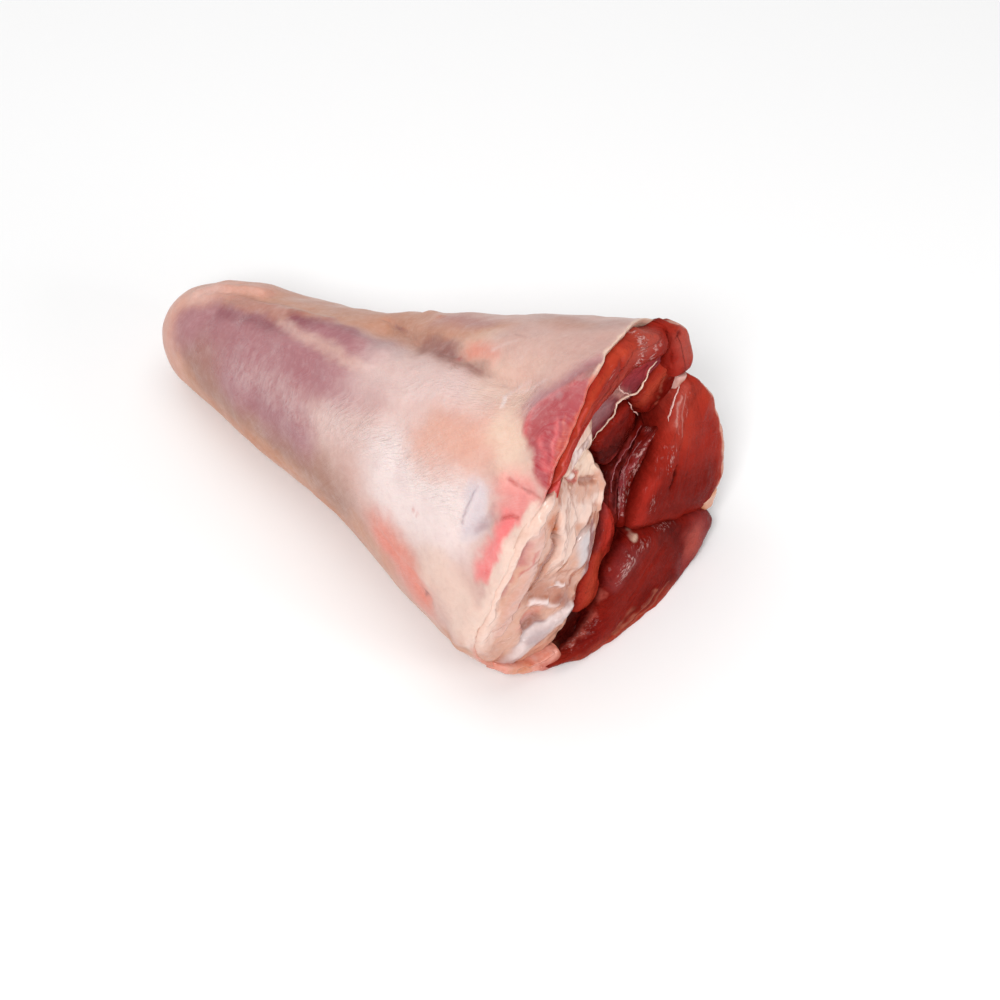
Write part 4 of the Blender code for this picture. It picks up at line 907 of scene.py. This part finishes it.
cutPieces = {}
for name, own in {**heads, **betweenHeads}.items():
    spec = {**headShape, **own}
    headPoints, headLevel = headPiece(spec)
    cutPieces[name] = closedMesh(name, (headPoints, headValues(headPoints, headLevel, spec), None, None))
    print("cut:", name, len(cutPieces[name].data.vertices), "points")
strandObject = closedMesh("strands", *(strandShell(*strand) for strand in strands.values()))
print("cut:", len(strands), "strands")


joint = {
    # (y, z, height past the plane of the cut)
    "rim": [(-3, 16, -3), (-0.5, 9, -3), (1.2, 1, -3), (-3, -7, -3), (-8, -14.5, -3), (-14, -21, -4),
            (-17, -28, -6), (-22.5, -34.3, -9), (-30.6, -35.1, -12), (-38.7, -26.8, -13),
            (-42.5, -18, -11.8), (-43.1, -9, -8), (-40.4, 3.6, -2.7), (-36.2, 13.1, 1.3),
            (-30.9, 20.6, 4.3), (-23, 21.9, 5), (-16.5, 17.6, 1.5), (-10, 17.8, -1)],
    "crown": 4.0, "bulge": 0.6, "columns": 330, "faceRings": 120, "wallRings": 16, "middleFrom": 40,
    # (along, share of the rim's outline, shaft radius)
    "sections": [(113, 0.78, 9.5), (101, 0.52, 9), (88, 0.28, 8.5), (74, 0.08, 8), (56, 0, 7.4), (36, 0, 7),
                 (20, 0, 6.8)],
    "offsetLead": 1.25, "tip": 15.0, "shaft": (-3.0, -3.0), "neck": 119.0,
    "wallScales": [(0, 0.78), (0.5, 0.87), (0.85, 0.95), (1, 1.0)],
    "waves": [(4.5, 0.45, 301), (2.0, 0.13, 302)],                          # (size, rise, seed)
    # (rise, half width, softness, path of (y, z))
    "forms": [
        (0.9, 1.6, 1.3, [(-25, 20.7), (-31, 18.6), (-35.4, 12.4), (-39, 4.4), (-41.4, -3), (-42.2, -10.6),
                         (-41.4, -17.4), (-37.4, -25)]),
        (-0.9, 0.9, 0.8, [(-32, 14.6), (-33.6, 8), (-35.8, 4.6), (-37.6, 1), (-38.8, -5)]),
        (0.8, 1.8, 0.8, [(-29, 17.4), (-31, 8.3), (-31.4, 2.3), (-33.6, -3), (-36, -9.1), (-37, -15)]),
        (-2.4, 0.8, 0.4, [(-22.6, 14.4), (-24.7, 10.6), (-22.6, 5), (-23.6, 2.0), (-26.2, -0.7),
                          (-27.3, -4.1), (-28.4, -7)]),
        (0.8, 4.2, 0.9, [(-18, 10.6), (-17.6, 4.6), (-19.4, -1)]),
        (0.5, 2.2, 0.8, [(-14, 5.4), (-8.8, 1.2)]),
        (-0.9, 0.4, 0.3, [(-7, -2.4), (-12.5, -2), (-16.6, -3.4), (-19.4, -6), (-21.4, -6.8)]),
        (0.9, 3.0, 2.0, [(-12, -4.4), (-13.2, -9)]),
        (-0.6, 0.45, 0.35, [(-9.2, -4), (-9.6, -9), (-10.8, -13)]),
        (-1.3, 3.2, 2.2, [(-28, -7), (-23, -11.4), (-17, -15.6)]),
        (0.5, 0.5, 0.4, [(-22.4, -11.6), (-19.9, -13.7)]),
        (0.7, 0.8, 0.6, [(-29.1, -11.1), (-24.8, -14.9)]),
        (0.4, 0.6, 0.5, [(-26.6, -14.5), (-22, -18.5)]),
        (-1.3, 2.0, 0.8, [(-29.3, -16), (-28.0, -21.3), (-28.6, -24.6)]),
        (1.1, 1.7, 0.9, [(-36, -30.6), (-31, -28.6), (-24.9, -25.2), (-21.5, -24.6), (-18.2, -23.6)]),
        (0.9, 2.6, 2.2, [(-7, 15.4), (-3.4, 13)]),
        (-0.7, 0.4, 0.35, [(-13.8, 16.6), (-10.4, 15.7), (-8.4, 12.6), (-9.4, 11.4), (-11.9, 12.6),
                           (-13.8, 16.6)]),
        (-0.9, 0.7, 0.6, [(-8, 9.6), (-3, 5)]),
        (0.8, 0.9, 0.6, [(-2.6, 13), (-0.8, 7), (-0.6, 1), (-2.6, -4)])],
    "rimForms": 0.3, "rimEase": 0.05,        # share of the forms' rise at the rim; none of the waves' is left
    "wander": (2.2, 0.45, 320), "ragged": (3.8, 0.42, 310), "rimRuffle": (3.2, 0.7, 305),
    "ruffled": (-34, -22),                   # the ruffle begins between these places across
    "tone": "jointBase", "wallTone": "mauveMuscle", "wallFade": (1, 5),     # in rings back from the rim
    # (tone, amount, half width, softness, path of (y, z))
    "strokes": [
        ("ligament", 0.95, 2.2, 1.2, [(-25, 20.7), (-30.6, 18.6), (-34.6, 12.4), (-38.2, 4.4), (-40.4, -3),
                                      (-41.2, -10.6), (-40.6, -17.4)]),
        ("pinkFlesh", 0.7, 1.1, 0.8, [(-32.4, 13), (-33.6, 8)]),
        ("redFlesh", 0.6, 0.6, 0.5, [(-35.4, 6), (-36, 4)]),
        ("pinkFlesh", 0.6, 0.9, 0.7, [(-37.2, 3.4), (-38, -0.6)]),
        ("paleFilm", 0.55, 2.0, 1.6, [(-30, 15), (-31, 8.3), (-31.6, 2), (-33.8, -3), (-36, -9.1),
                                      (-37, -15)]),
        ("redFlesh", 0.6, 0.35, 0.3, [(-30.9, 9.8), (-32, 6.4), (-34, 4.4)]),
        ("redFlesh", 0.65, 0.35, 0.3, [(-30.9, -4.4), (-31.6, -7.4), (-33.2, -10.6)]),
        ("ligament", 0.9, 5.0, 1.4, [(-18.6, 10.6), (-18.2, 4.6), (-20, -1)]),
        ("ligament", 0.9, 2.8, 1.0, [(-14, 5.4), (-8.8, 1.2)]),
        ("amber", 0.95, 1.5, 0.8, [(-25, 15), (-24.3, 10), (-24, 5.3), (-26.6, 1.3), (-28.4, -2.8)]),
        ("brownPit", 0.9, 0.7, 0.5, [(-24.6, 10), (-24.4, 5.3), (-26.8, 1), (-28.8, -3.4)]),
        ("brownPit", 0.7, 0.5, 0.4, [(-7, -2.4), (-12.5, -2), (-16.6, -3.4), (-19.4, -6), (-21.4, -6.8)]),
        ("cartilage", 0.95, 3.2, 1.6, [(-12, -4.4), (-13.2, -9.4)]),
        ("bluish", 0.8, 1.6, 1.4, [(-12.6, -5), (-13.6, -8.6)]),
        ("greyMauve", 0.9, 1.5, 1.0, [(-7.4, -5), (-8.4, -12), (-11.4, -17)]),
        ("tissue", 0.85, 3.2, 2.2, [(-29, -7), (-24.6, -13), (-19, -16.6)]),
        # painted highlights on the wet folds of the hollow
        ("white", 0.8, 0.45, 0.4, [(-22.4, -11.6), (-19.9, -13.7)]),
        ("white", 0.85, 0.7, 0.6, [(-29.1, -11.1), (-24.8, -14.9)]),
        ("white", 0.7, 0.5, 0.5, [(-26.6, -14.5), (-22, -18.5)]),
        ("brownPit", 0.85, 1.3, 1.0, [(-21.3, -17.3), (-19, -20.8)]),
        ("brownPit", 0.95, 2.8, 1.2, [(-28.6, -19.4), (-27.6, -25)]),
        ("oldBlood", 0.6, 0.7, 0.6, [(-25.9, -21.3), (-26.2, -22)]),
        ("salmon", 0.4, 1.6, 1.4, [(-30.6, -17.6), (-28, -17)]),
        ("bluish", 0.7, 2.2, 1.2, [(-34.4, -30), (-29.1, -25.6), (-23.5, -23.2), (-17.6, -23.6)]),
        ("white", 0.5, 0.9, 0.8, [(-32.6, -28), (-29.1, -24.8), (-24, -22.4), (-18.6, -23)]),
        ("tissue", 0.35, 2.4, 2.0, [(-40.4, -19), (-38, -25), (-34.6, -31)]),
        ("fat", 0.95, 3.8, 1.6, [(-9, 15.8), (-4, 13.6), (-2, 10.6)]),
        ("blood", 0.75, 0.5, 0.4, [(-13.8, 16.6), (-10.4, 15.7), (-8.4, 12.6), (-9.4, 11.4), (-11.9, 12.6),
                                   (-13.8, 16.6)]),
        ("white", 0.9, 0.8, 0.6, [(-11.4, 14.4), (-10.8, 13.6)]),
        ("brownPit", 0.7, 0.8, 0.7, [(-8, 9.6), (-3, 5)]),
        ("blood", 0.8, 0.5, 0.4, [(-15.8, 17.9), (-11.7, 18.1), (-7.6, 17.9)]),
        ("ligament", 0.9, 1.3, 0.8, [(-5, 1), (-1, -2)])],
}


# Rim of the joint, evenly spaced round, and the middle it is measured from.
def rimOutline():
    places = np.arange(len(joint["rim"])) / len(joint["rim"])
    fine, coarse = (
        [smoothRing(list(zip(places, column)), np.arange(count) / count, 1) for column in zip(*joint["rim"])]
        for count in (joint["columns"], joint["middleFrom"]))
    y, z, height = (column.mean() for column in coarse)
    return np.array([y, z]), np.stack(fine[:2], -1), fine[2], float(height)


# Shaft rings that flare into the rim, then a face whose height is a crown plus formed strokes.
def jointPiece():
    centre, outline, height, meanHeight = rimOutline()
    size, rise, seed = joint["rimRuffle"]
    away = outline - centre
    angle = np.arctan2(away[:, 1], away[:, 0])
    spots = np.column_stack([outline, height])
    bend = cloud(spots, size, seed, 2) * rise * ease(outline[:, 0], *joint["ruffled"])
    away = away * (1 + bend / np.linalg.norm(away, axis=-1))[:, None]
    rings = []
    for x, share, radius in reversed(joint["sections"]):
        middle = np.array(joint["shaft"]) + (centre - joint["shaft"]) * min(1, share * joint["offsetLead"])
        shaft = np.stack([np.cos(angle), np.sin(angle)], -1) * radius
        ring = middle + shaft * (1 - share) + away * share
        rings.append(np.column_stack([np.full(len(angle), float(x)), ring]))
    for share in np.linspace(0, 1, joint["wallRings"]):
        x = joint["neck"] + (shank["cutAt"] + height - joint["neck"]) * share
        rings.append(np.column_stack([x, centre + away * float(smooth(joint["wallScales"], share))]))
    share = (1 - np.arange(1, joint["faceRings"]) / joint["faceRings"])[:, None]
    crown = height * share + (meanHeight + joint["crown"]) * (1 - share)
    crown = crown + joint["crown"] * joint["bulge"] * (share - share**4)
    face = np.concatenate([(shank["cutAt"] + crown)[..., None], centre + away * share[..., None]], -1)
    moved = wander(face, joint["ragged"])[..., 1:]
    inside = ease(1 - share, 0, joint["rimEase"])
    for rise, halfWidth, soft, path in joint["forms"]:
        fade = joint["rimForms"] + (1 - joint["rimForms"]) * inside
        face[..., 0] += rise * stroke(moved, path, halfWidth, soft) * fade
    face[..., 0] += waves(face, joint["waves"]) * inside
    return np.concatenate([np.array(rings), face]), len(rings)


# Tones of the joint: its own, its strokes on (y, z), and the wall's below its rim.
def jointValues(points, wallCount):
    moved = wander(points, joint["wander"]) + wander(points, joint["ragged"]) - points
    colour = np.broadcast_to(linear(joint["tone"]), points.shape)
    colour = paint(colour, moved[..., 1:], joint["strokes"])
    start, stop = joint["wallFade"]
    below = ease(-np.arange(len(points)), start - wallCount, stop - wallCount)[:, None]
    colour = blend(colour, joint["wallTone"], below)
    film = (1 - below)[..., None] * [1, 0, 0] + 0 * points
    return {"tone": colour, "film": film, "place": points[..., [1, 2, 0]]}


jointPoints, jointWall = jointPiece()
jointObject = closedMesh("jointEnd", (jointPoints, jointValues(jointPoints, jointWall),
                                      (joint["tip"], *joint["shaft"]), None))
print("joint: the bone's end is shaped and painted,", len(jointObject.data.vertices), "points")


# A node with its settings, and its inputs set to numbers or linked from sockets.
def addNode(tree, kind, inputs=(), **settings):
    node = tree.nodes.new(kind)
    for key, value in settings.items():
        setattr(node, key, value)
    for key, value in dict(inputs).items():
        if isinstance(value, bpy.types.NodeSocket):
            tree.links.new(value, node.inputs[key])
        else:
            node.inputs[key].default_value = value
    return node


# Colour mix; sockets 0, 6 and 7 are the share and the two colours.
def mixColours(tree, share, first, second):
    return addNode(tree, "ShaderNodeMix", {0: share, 6: first, 7: second}, data_type="RGBA",
                   blend_type="MIX", clamp_factor=True).outputs[2]


# One step of arithmetic on values.
def calculate(tree, operation, first, second, third=0.0):
    return addNode(tree, "ShaderNodeMath", {0: first, 1: second, 2: third}, operation=operation).outputs[0]


# A value of noise at a vector, with the noise's other inputs by name.
def noiseOf(tree, vector, scale, **inputs):
    return addNode(tree, "ShaderNodeTexNoise", {"Vector": vector, "Scale": scale, **inputs}).outputs["Fac"]


# A value carried from one range to another, and kept within it.
def remap(tree, value, low, high, toLow=0.0, toHigh=1.0, kind="LINEAR"):
    inputs = {"Value": value, "From Min": low, "From Max": high, "To Min": toLow, "To Max": toHigh}
    return addNode(tree, "ShaderNodeMapRange", inputs, interpolation_type=kind).outputs[0]


# An empty shader group with named sockets, whose kinds follow from their defaults.
def newGroup(name, inputs, outputs):
    group = bpy.data.node_groups.new(name, "ShaderNodeTree")
    kinds = {4: "NodeSocketColor", 3: "NodeSocketVector", 1: "NodeSocketFloat"}
    for direction, sockets in (("INPUT", inputs), ("OUTPUT", outputs)):
        for label, value in sockets.items():
            kind = kinds[np.size(value)]
            group.interface.new_socket(label, in_out=direction, socket_type=kind).default_value = value
    return group, group.nodes.new("NodeGroupInput").outputs, group.nodes.new("NodeGroupOutput").inputs


# Clouds a colour: noise moves it towards a lighter and a darker tone by an amount.
def mottleGroup():
    group, given, out = newGroup("fleshMottle", {
        "Colour": (0.5, 0.5, 0.5, 1), "Vector": (0, 0, 0), "Scale": 200.0, "Amount": 0.2,
        "Lighter": (0.9, 0.8, 0.75, 1), "Darker": (0.4, 0.1, 0.12, 1)}, {"Colour": (0.5, 0.5, 0.5, 1)})
    noise = noiseOf(group, given["Vector"], given["Scale"], Detail=4.0, Roughness=0.6)
    tone = given["Colour"]
    for label, far in (("Lighter", 0.75), ("Darker", 0.25)):         # noise seldom lies past these
        share = calculate(group, "MULTIPLY", remap(group, noise, 0.5, far), given["Amount"])
        tone = mixColours(group, share, tone, given[label])
    group.links.new(tone, out["Colour"])
    return group


# Stretched noise from 0 to 1: its size along and across is in the vector's own units.
def grainGroup():
    group, given, out = newGroup("fleshGrain", {
        "Vector": (0, 0, 0), "Along": 5.0, "Across": 0.5, "Twist": 0.4}, {"Grain": 0.0})
    sizes = addNode(group, "ShaderNodeCombineXYZ", {"X": given["Along"], "Y": given["Across"], "Z": 4.0})
    scaled = addNode(group, "ShaderNodeVectorMath", {0: given["Vector"], 1: sizes.outputs[0]},
                     operation="DIVIDE").outputs[0]
    noise = noiseOf(group, scaled, 1.0, Detail=1.5, Roughness=0.5, Distortion=given["Twist"])
    group.links.new(remap(group, noise, 0.25, 0.75, kind="SMOOTHSTEP"), out["Grain"])
    return group


# Wet surface: small bumps in patches as a height, and a roughness that varies with them.
def moistGroup():
    group, given, out = newGroup("moistSurface", {
        "Vector": (0, 0, 0), "Scale": 900.0, "Patches": 120.0, "Smoothest": 0.2, "Roughest": 0.45,
    }, {"Height": 0.0, "Roughness": 0.0})
    fine = noiseOf(group, given["Vector"], given["Scale"], Detail=3.0, Roughness=0.6)
    patch = noiseOf(group, given["Vector"], given["Patches"], Detail=2.0)
    spread = remap(group, patch, 0.35, 0.65)
    least = 0.3                  # share of the bumps' height between the patches
    share = calculate(group, "MULTIPLY_ADD", spread, 1 - least, least)
    group.links.new(calculate(group, "MULTIPLY", fine, share), out["Height"])
    group.links.new(remap(group, spread, 1.0, 0.0, given["Smoothest"], given["Roughest"]), out["Roughness"])
    return group


# Mask of small wet glints, which the finishes paint as pale highlights: the peaks of a fine noise, broken up
# by a coarser one.
def glintGroup():
    stretch, coarseness, breakUp = (0.45, 1.5, 1.0), 0.3, 0.45
    threshold, fall, ramp = 0.88, -0.22, 0.16            # the threshold falls as the share grows
    group, given, out = newGroup("wetGlints", {
        "Vector": (0, 0, 0), "Scale": 1500.0, "Share": 0.5}, {"Mask": 0.0})
    drawn = addNode(group, "ShaderNodeVectorMath", {0: given["Vector"], 1: stretch},
                    operation="MULTIPLY").outputs[0]
    fine = noiseOf(group, drawn, given["Scale"], Detail=2.0, Roughness=0.5, Distortion=0.3)
    coarse = noiseOf(group, drawn, calculate(group, "MULTIPLY", given["Scale"], coarseness), Detail=1.0)
    both = calculate(group, "MULTIPLY_ADD", coarse, breakUp, fine)
    least = calculate(group, "MULTIPLY_ADD", given["Share"], fall, threshold)
    most = calculate(group, "ADD", least, ramp)
    group.links.new(remap(group, both, least, most), out["Mask"])
    return group


groups = {"mottle": mottleGroup(), "grain": grainGroup(), "moist": moistGroup(), "glints": glintGroup()}


# Places a shared group in a material with its own values.
def useGroup(tree, name, **inputs):
    return addNode(tree, "ShaderNodeGroup", inputs, node_tree=groups[name]).outputs


# lengths are in metres, and grain sizes in mm
looks = {
    "skinFinish": {
        "mottle": [(150.0, 0.12), (650.0, 0.10)], "lighter": "white", "darker": "deepMauve",
        "grain": (7.0, 0.5, 0.5), "grainAmount": 0.07, "grainTone": "white", "grainDepth": 0.10,
        "moist": (1500.0, 160.0, 0.34, 0.52), "bumpDepth": 0.00022, "glossGain": 0.35,
        "wrinkles": [(1, 1.2, 3.8, 0.9), (2, 3.4, 1.2, 1.2)],        # (film mask, along, across, twist)
        "detail": ("white", 0.6, 0.3),                               # of wrinkles: painted highlight tone on their ridges, bump depth and share
        "sockets": {"Coat Weight": 0.12, "Coat Roughness": 0.25, "Specular IOR Level": 0.35,
                    "Subsurface Weight": 0.10, "Subsurface Scale": 0.0012,
                    "Subsurface Radius": (1.0, 0.42, 0.30)},
    },
    "muscleFinish": {
        "mottle": [(170.0, 0.26), (800.0, 0.16)], "lighter": "muscle", "darker": "darkMuscle",
        "grain": (9.0, 0.55, 0.7), "grainAmount": 0.06, "grainTone": "brightMuscle", "grainDepth": 0.35,
        "moist": (1300.0, 150.0, 0.22, 0.42), "bumpDepth": 0.00042, "glossGain": 0.3, "glintScale": 2.2,
        "detail": ("glint", 0.5, 0.6),                               # of glints: painted highlight tone, bump depth and share
        "sockets": {"Coat Weight": 0.05, "Coat Roughness": 0.14, "Specular IOR Level": 0.01},
    },
    "jointFinish": {
        "mottle": [(220.0, 0.16), (900.0, 0.12)], "lighter": "white", "darker": "tissue",
        "grain": (4.0, 0.7, 0.6), "grainAmount": 0.05, "grainTone": "salmon", "grainDepth": 0.0,
        "moist": (700.0, 180.0, 0.20, 0.40), "bumpDepth": 0.00008, "glossGain": 0.3, "glintScale": 2.0,
        "detail": ("glint", 0.5, 0.6),
        "sockets": {"Coat Weight": 0.4, "Coat Roughness": 0.12, "Specular IOR Level": 0.35},
    },
}


# Painted tone, mottled twice, with grain along the piece, a moist film, a thin gloss, and either
# fine wrinkles or wet glints where the film masks ask for them, bumped and with painted highlights on their
# ridges.
def fleshMaterial(name, look):
    material = bpy.data.materials.new(name)
    material.use_nodes = True
    tree = material.node_tree
    shader = tree.nodes["Principled BSDF"]
    tone, place, film = (addNode(tree, "ShaderNodeAttribute", attribute_name=label).outputs[kind]
                         for label, kind in (("tone", "Color"), ("place", "Vector"), ("film", "Color")))
    masks = addNode(tree, "ShaderNodeSeparateColor", {"Color": film}).outputs
    inObject = addNode(tree, "ShaderNodeTexCoord").outputs["Object"]
    for scale, amount in look["mottle"]:
        tone = useGroup(tree, "mottle", Colour=tone, Vector=inObject, Scale=scale, Amount=amount,
                        Lighter=(*linear(look["lighter"]), 1), Darker=(*linear(look["darker"]), 1))["Colour"]
    along, across, twist = look["grain"]
    grain = useGroup(tree, "grain", Vector=place, Along=along, Across=across, Twist=twist)["Grain"]
    share = calculate(tree, "MULTIPLY", grain, look["grainAmount"])
    tone = mixColours(tree, share, tone, (*linear(look["grainTone"]), 1))
    scale, patches, smoothest, roughest = look["moist"]
    moist = useGroup(tree, "moist", Vector=inObject, Scale=scale, Patches=patches,
                     Smoothest=smoothest, Roughest=roughest)
    height = calculate(tree, "MULTIPLY_ADD", grain, look["grainDepth"], moist["Height"])
    if "wrinkles" in look:
        detail = 0.0
        for mask, along, across, twist in look["wrinkles"]:
            runs = useGroup(tree, "grain", Vector=place, Along=along, Across=across, Twist=twist)["Grain"]
            detail = calculate(tree, "MULTIPLY_ADD", runs, masks[mask], detail)
    else:
        glints = useGroup(tree, "glints", Vector=place, Scale=look["glintScale"], Share=masks[1])["Mask"]
        detail = calculate(tree, "MULTIPLY", glints, masks[1])
    # painted highlight: wrinkle ridges and glints are mixed towards a pale tone
    ridgeHighlightTone, detailDepth, detailShare = look["detail"]
    height = calculate(tree, "MULTIPLY_ADD", detail, detailDepth, height)
    share = calculate(tree, "MULTIPLY", detail, detailShare)
    tone = mixColours(tree, share, tone, (*linear(ridgeHighlightTone), 1))
    bump = addNode(tree, "ShaderNodeBump", {"Strength": 1.0, "Distance": look["bumpDepth"], "Height": height})
    wet = calculate(tree, "MULTIPLY_ADD", masks[0], -look["glossGain"], 1.0)
    tree.links.new(tone, shader.inputs["Base Color"])
    tree.links.new(calculate(tree, "MULTIPLY", moist["Roughness"], wet), shader.inputs["Roughness"])
    tree.links.new(bump.outputs["Normal"], shader.inputs["Normal"])
    for socket, value in look["sockets"].items():
        shader.inputs[socket].default_value = value
    return material


finishes = {name: fleshMaterial(name, look) for name, look in looks.items()}
skinObject.data.materials.append(finishes["skinFinish"])
skinObject.data.materials.append(finishes["muscleFinish"])       # for the hollow behind the rim
skinFaces = (skin["rows"] - 1 + skin["skinRings"]) * skin["columns"]
quadCount = (len(skinPoints) - 1) * skin["columns"]
faceOrder = np.arange(len(skinObject.data.polygons))             # quads, the fan at the ankle, the hollow's
inHollow = (faceOrder >= skinFaces) & (faceOrder < quadCount) | (faceOrder >= quadCount + skin["columns"])
skinObject.data.polygons.foreach_set("material_index", inHollow.astype(np.int32))
jointObject.data.materials.append(finishes["jointFinish"])
strandObject.data.materials.append(finishes["jointFinish"])
for name, piece in cutPieces.items():
    pale = name in betweenHeads and name not in ("fasciaSheet", "bloodFold")
    piece.data.materials.append(finishes["jointFinish" if pale else "muscleFinish"])
print("materials: three finishes are placed")

for piece in (skinObject, strandObject, *cutPieces.values()):
    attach(piece, "root")
    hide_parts("meat")
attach(jointObject, "root")
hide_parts("bone")


studio = {
    "azimuth": 36.515, "elevation": 52.0, "distance": 0.6411, "target": (0.0359, -0.0078, 0.0284),
    "lens": 100.0, "sensor": 36.0, "worldStrength": 0.26,
    "floorHalf": 3.0, "floorTone": (0.97, 0.97, 0.97), "floorRoughness": 0.8,
    "lights": {                  # place right of, above and towards the camera's line, in metres; size; watts
        "key": ((-0.12, 0.0, 0.90), 0.25, 4.5),
        "side": ((0.70, -0.10, 0.50), 0.30, 1.8),
        "upper": ((-0.45, 0.62, 0.45), 0.50, 0.9),
        "overhead": ((0.0, 0.70, 0.55), 0.80, 3.0),
    },
}


# Unit vectors right, up and back of a camera that looks down at the shank.
def cameraAxes():
    azimuth, elevation = math.radians(studio["azimuth"]), math.radians(studio["elevation"])
    back = Vector((math.sin(azimuth) * math.cos(elevation), -math.cos(azimuth) * math.cos(elevation),
                   math.sin(elevation)))
    right = Vector((math.cos(azimuth), math.sin(azimuth), 0))
    return right, back.cross(right), back


# An object for data, put into the scene.
def inScene(name, data):
    added = bpy.data.objects.new(name, data)
    bpy.context.scene.collection.objects.link(added)
    return added


# Camera, pale floor, soft panels and an even world.
def makeStudio():
    scene = bpy.context.scene
    right, up, back = cameraAxes()
    target = Vector(studio["target"])
    camera = inScene("camera", bpy.data.cameras.new("camera"))
    camera.data.lens, camera.data.sensor_width = studio["lens"], studio["sensor"]
    camera.location = target + back * studio["distance"]
    camera.rotation_euler = (-back).to_track_quat("-Z", "Y").to_euler()
    scene.camera = camera
    half = studio["floorHalf"]
    ground = bpy.data.meshes.new("floor")
    corners = [(-half, -half, 0), (half, -half, 0), (half, half, 0), (-half, half, 0)]
    ground.from_pydata(corners, [], [(0, 1, 2, 3)])
    paper = bpy.data.materials.new("floorPaper")
    paper.use_nodes = True
    sockets = paper.node_tree.nodes["Principled BSDF"].inputs
    sockets["Base Color"].default_value = (*studio["floorTone"], 1)
    sockets["Roughness"].default_value = studio["floorRoughness"]
    ground.materials.append(paper)
    inScene("floor", ground)
    for name, (offset, size, power) in studio["lights"].items():
        light = bpy.data.lights.new(name, "AREA")
        light.size, light.energy = size, power
        lamp = inScene(name, light)
        toward = right * offset[0] + up * offset[1] + back * offset[2]
        lamp.location = target + toward
        lamp.rotation_euler = toward.to_track_quat("Z", "Y").to_euler()
    world = bpy.data.worlds.new("studio")
    world.use_nodes = True
    sockets = world.node_tree.nodes["Background"].inputs
    sockets["Color"].default_value = (1, 1, 1, 1)
    sockets["Strength"].default_value = studio["worldStrength"]
    scene.world = world
    scene.view_settings.view_transform = "Standard"


makeStudio()
print("studio: camera, floor and lights are set")
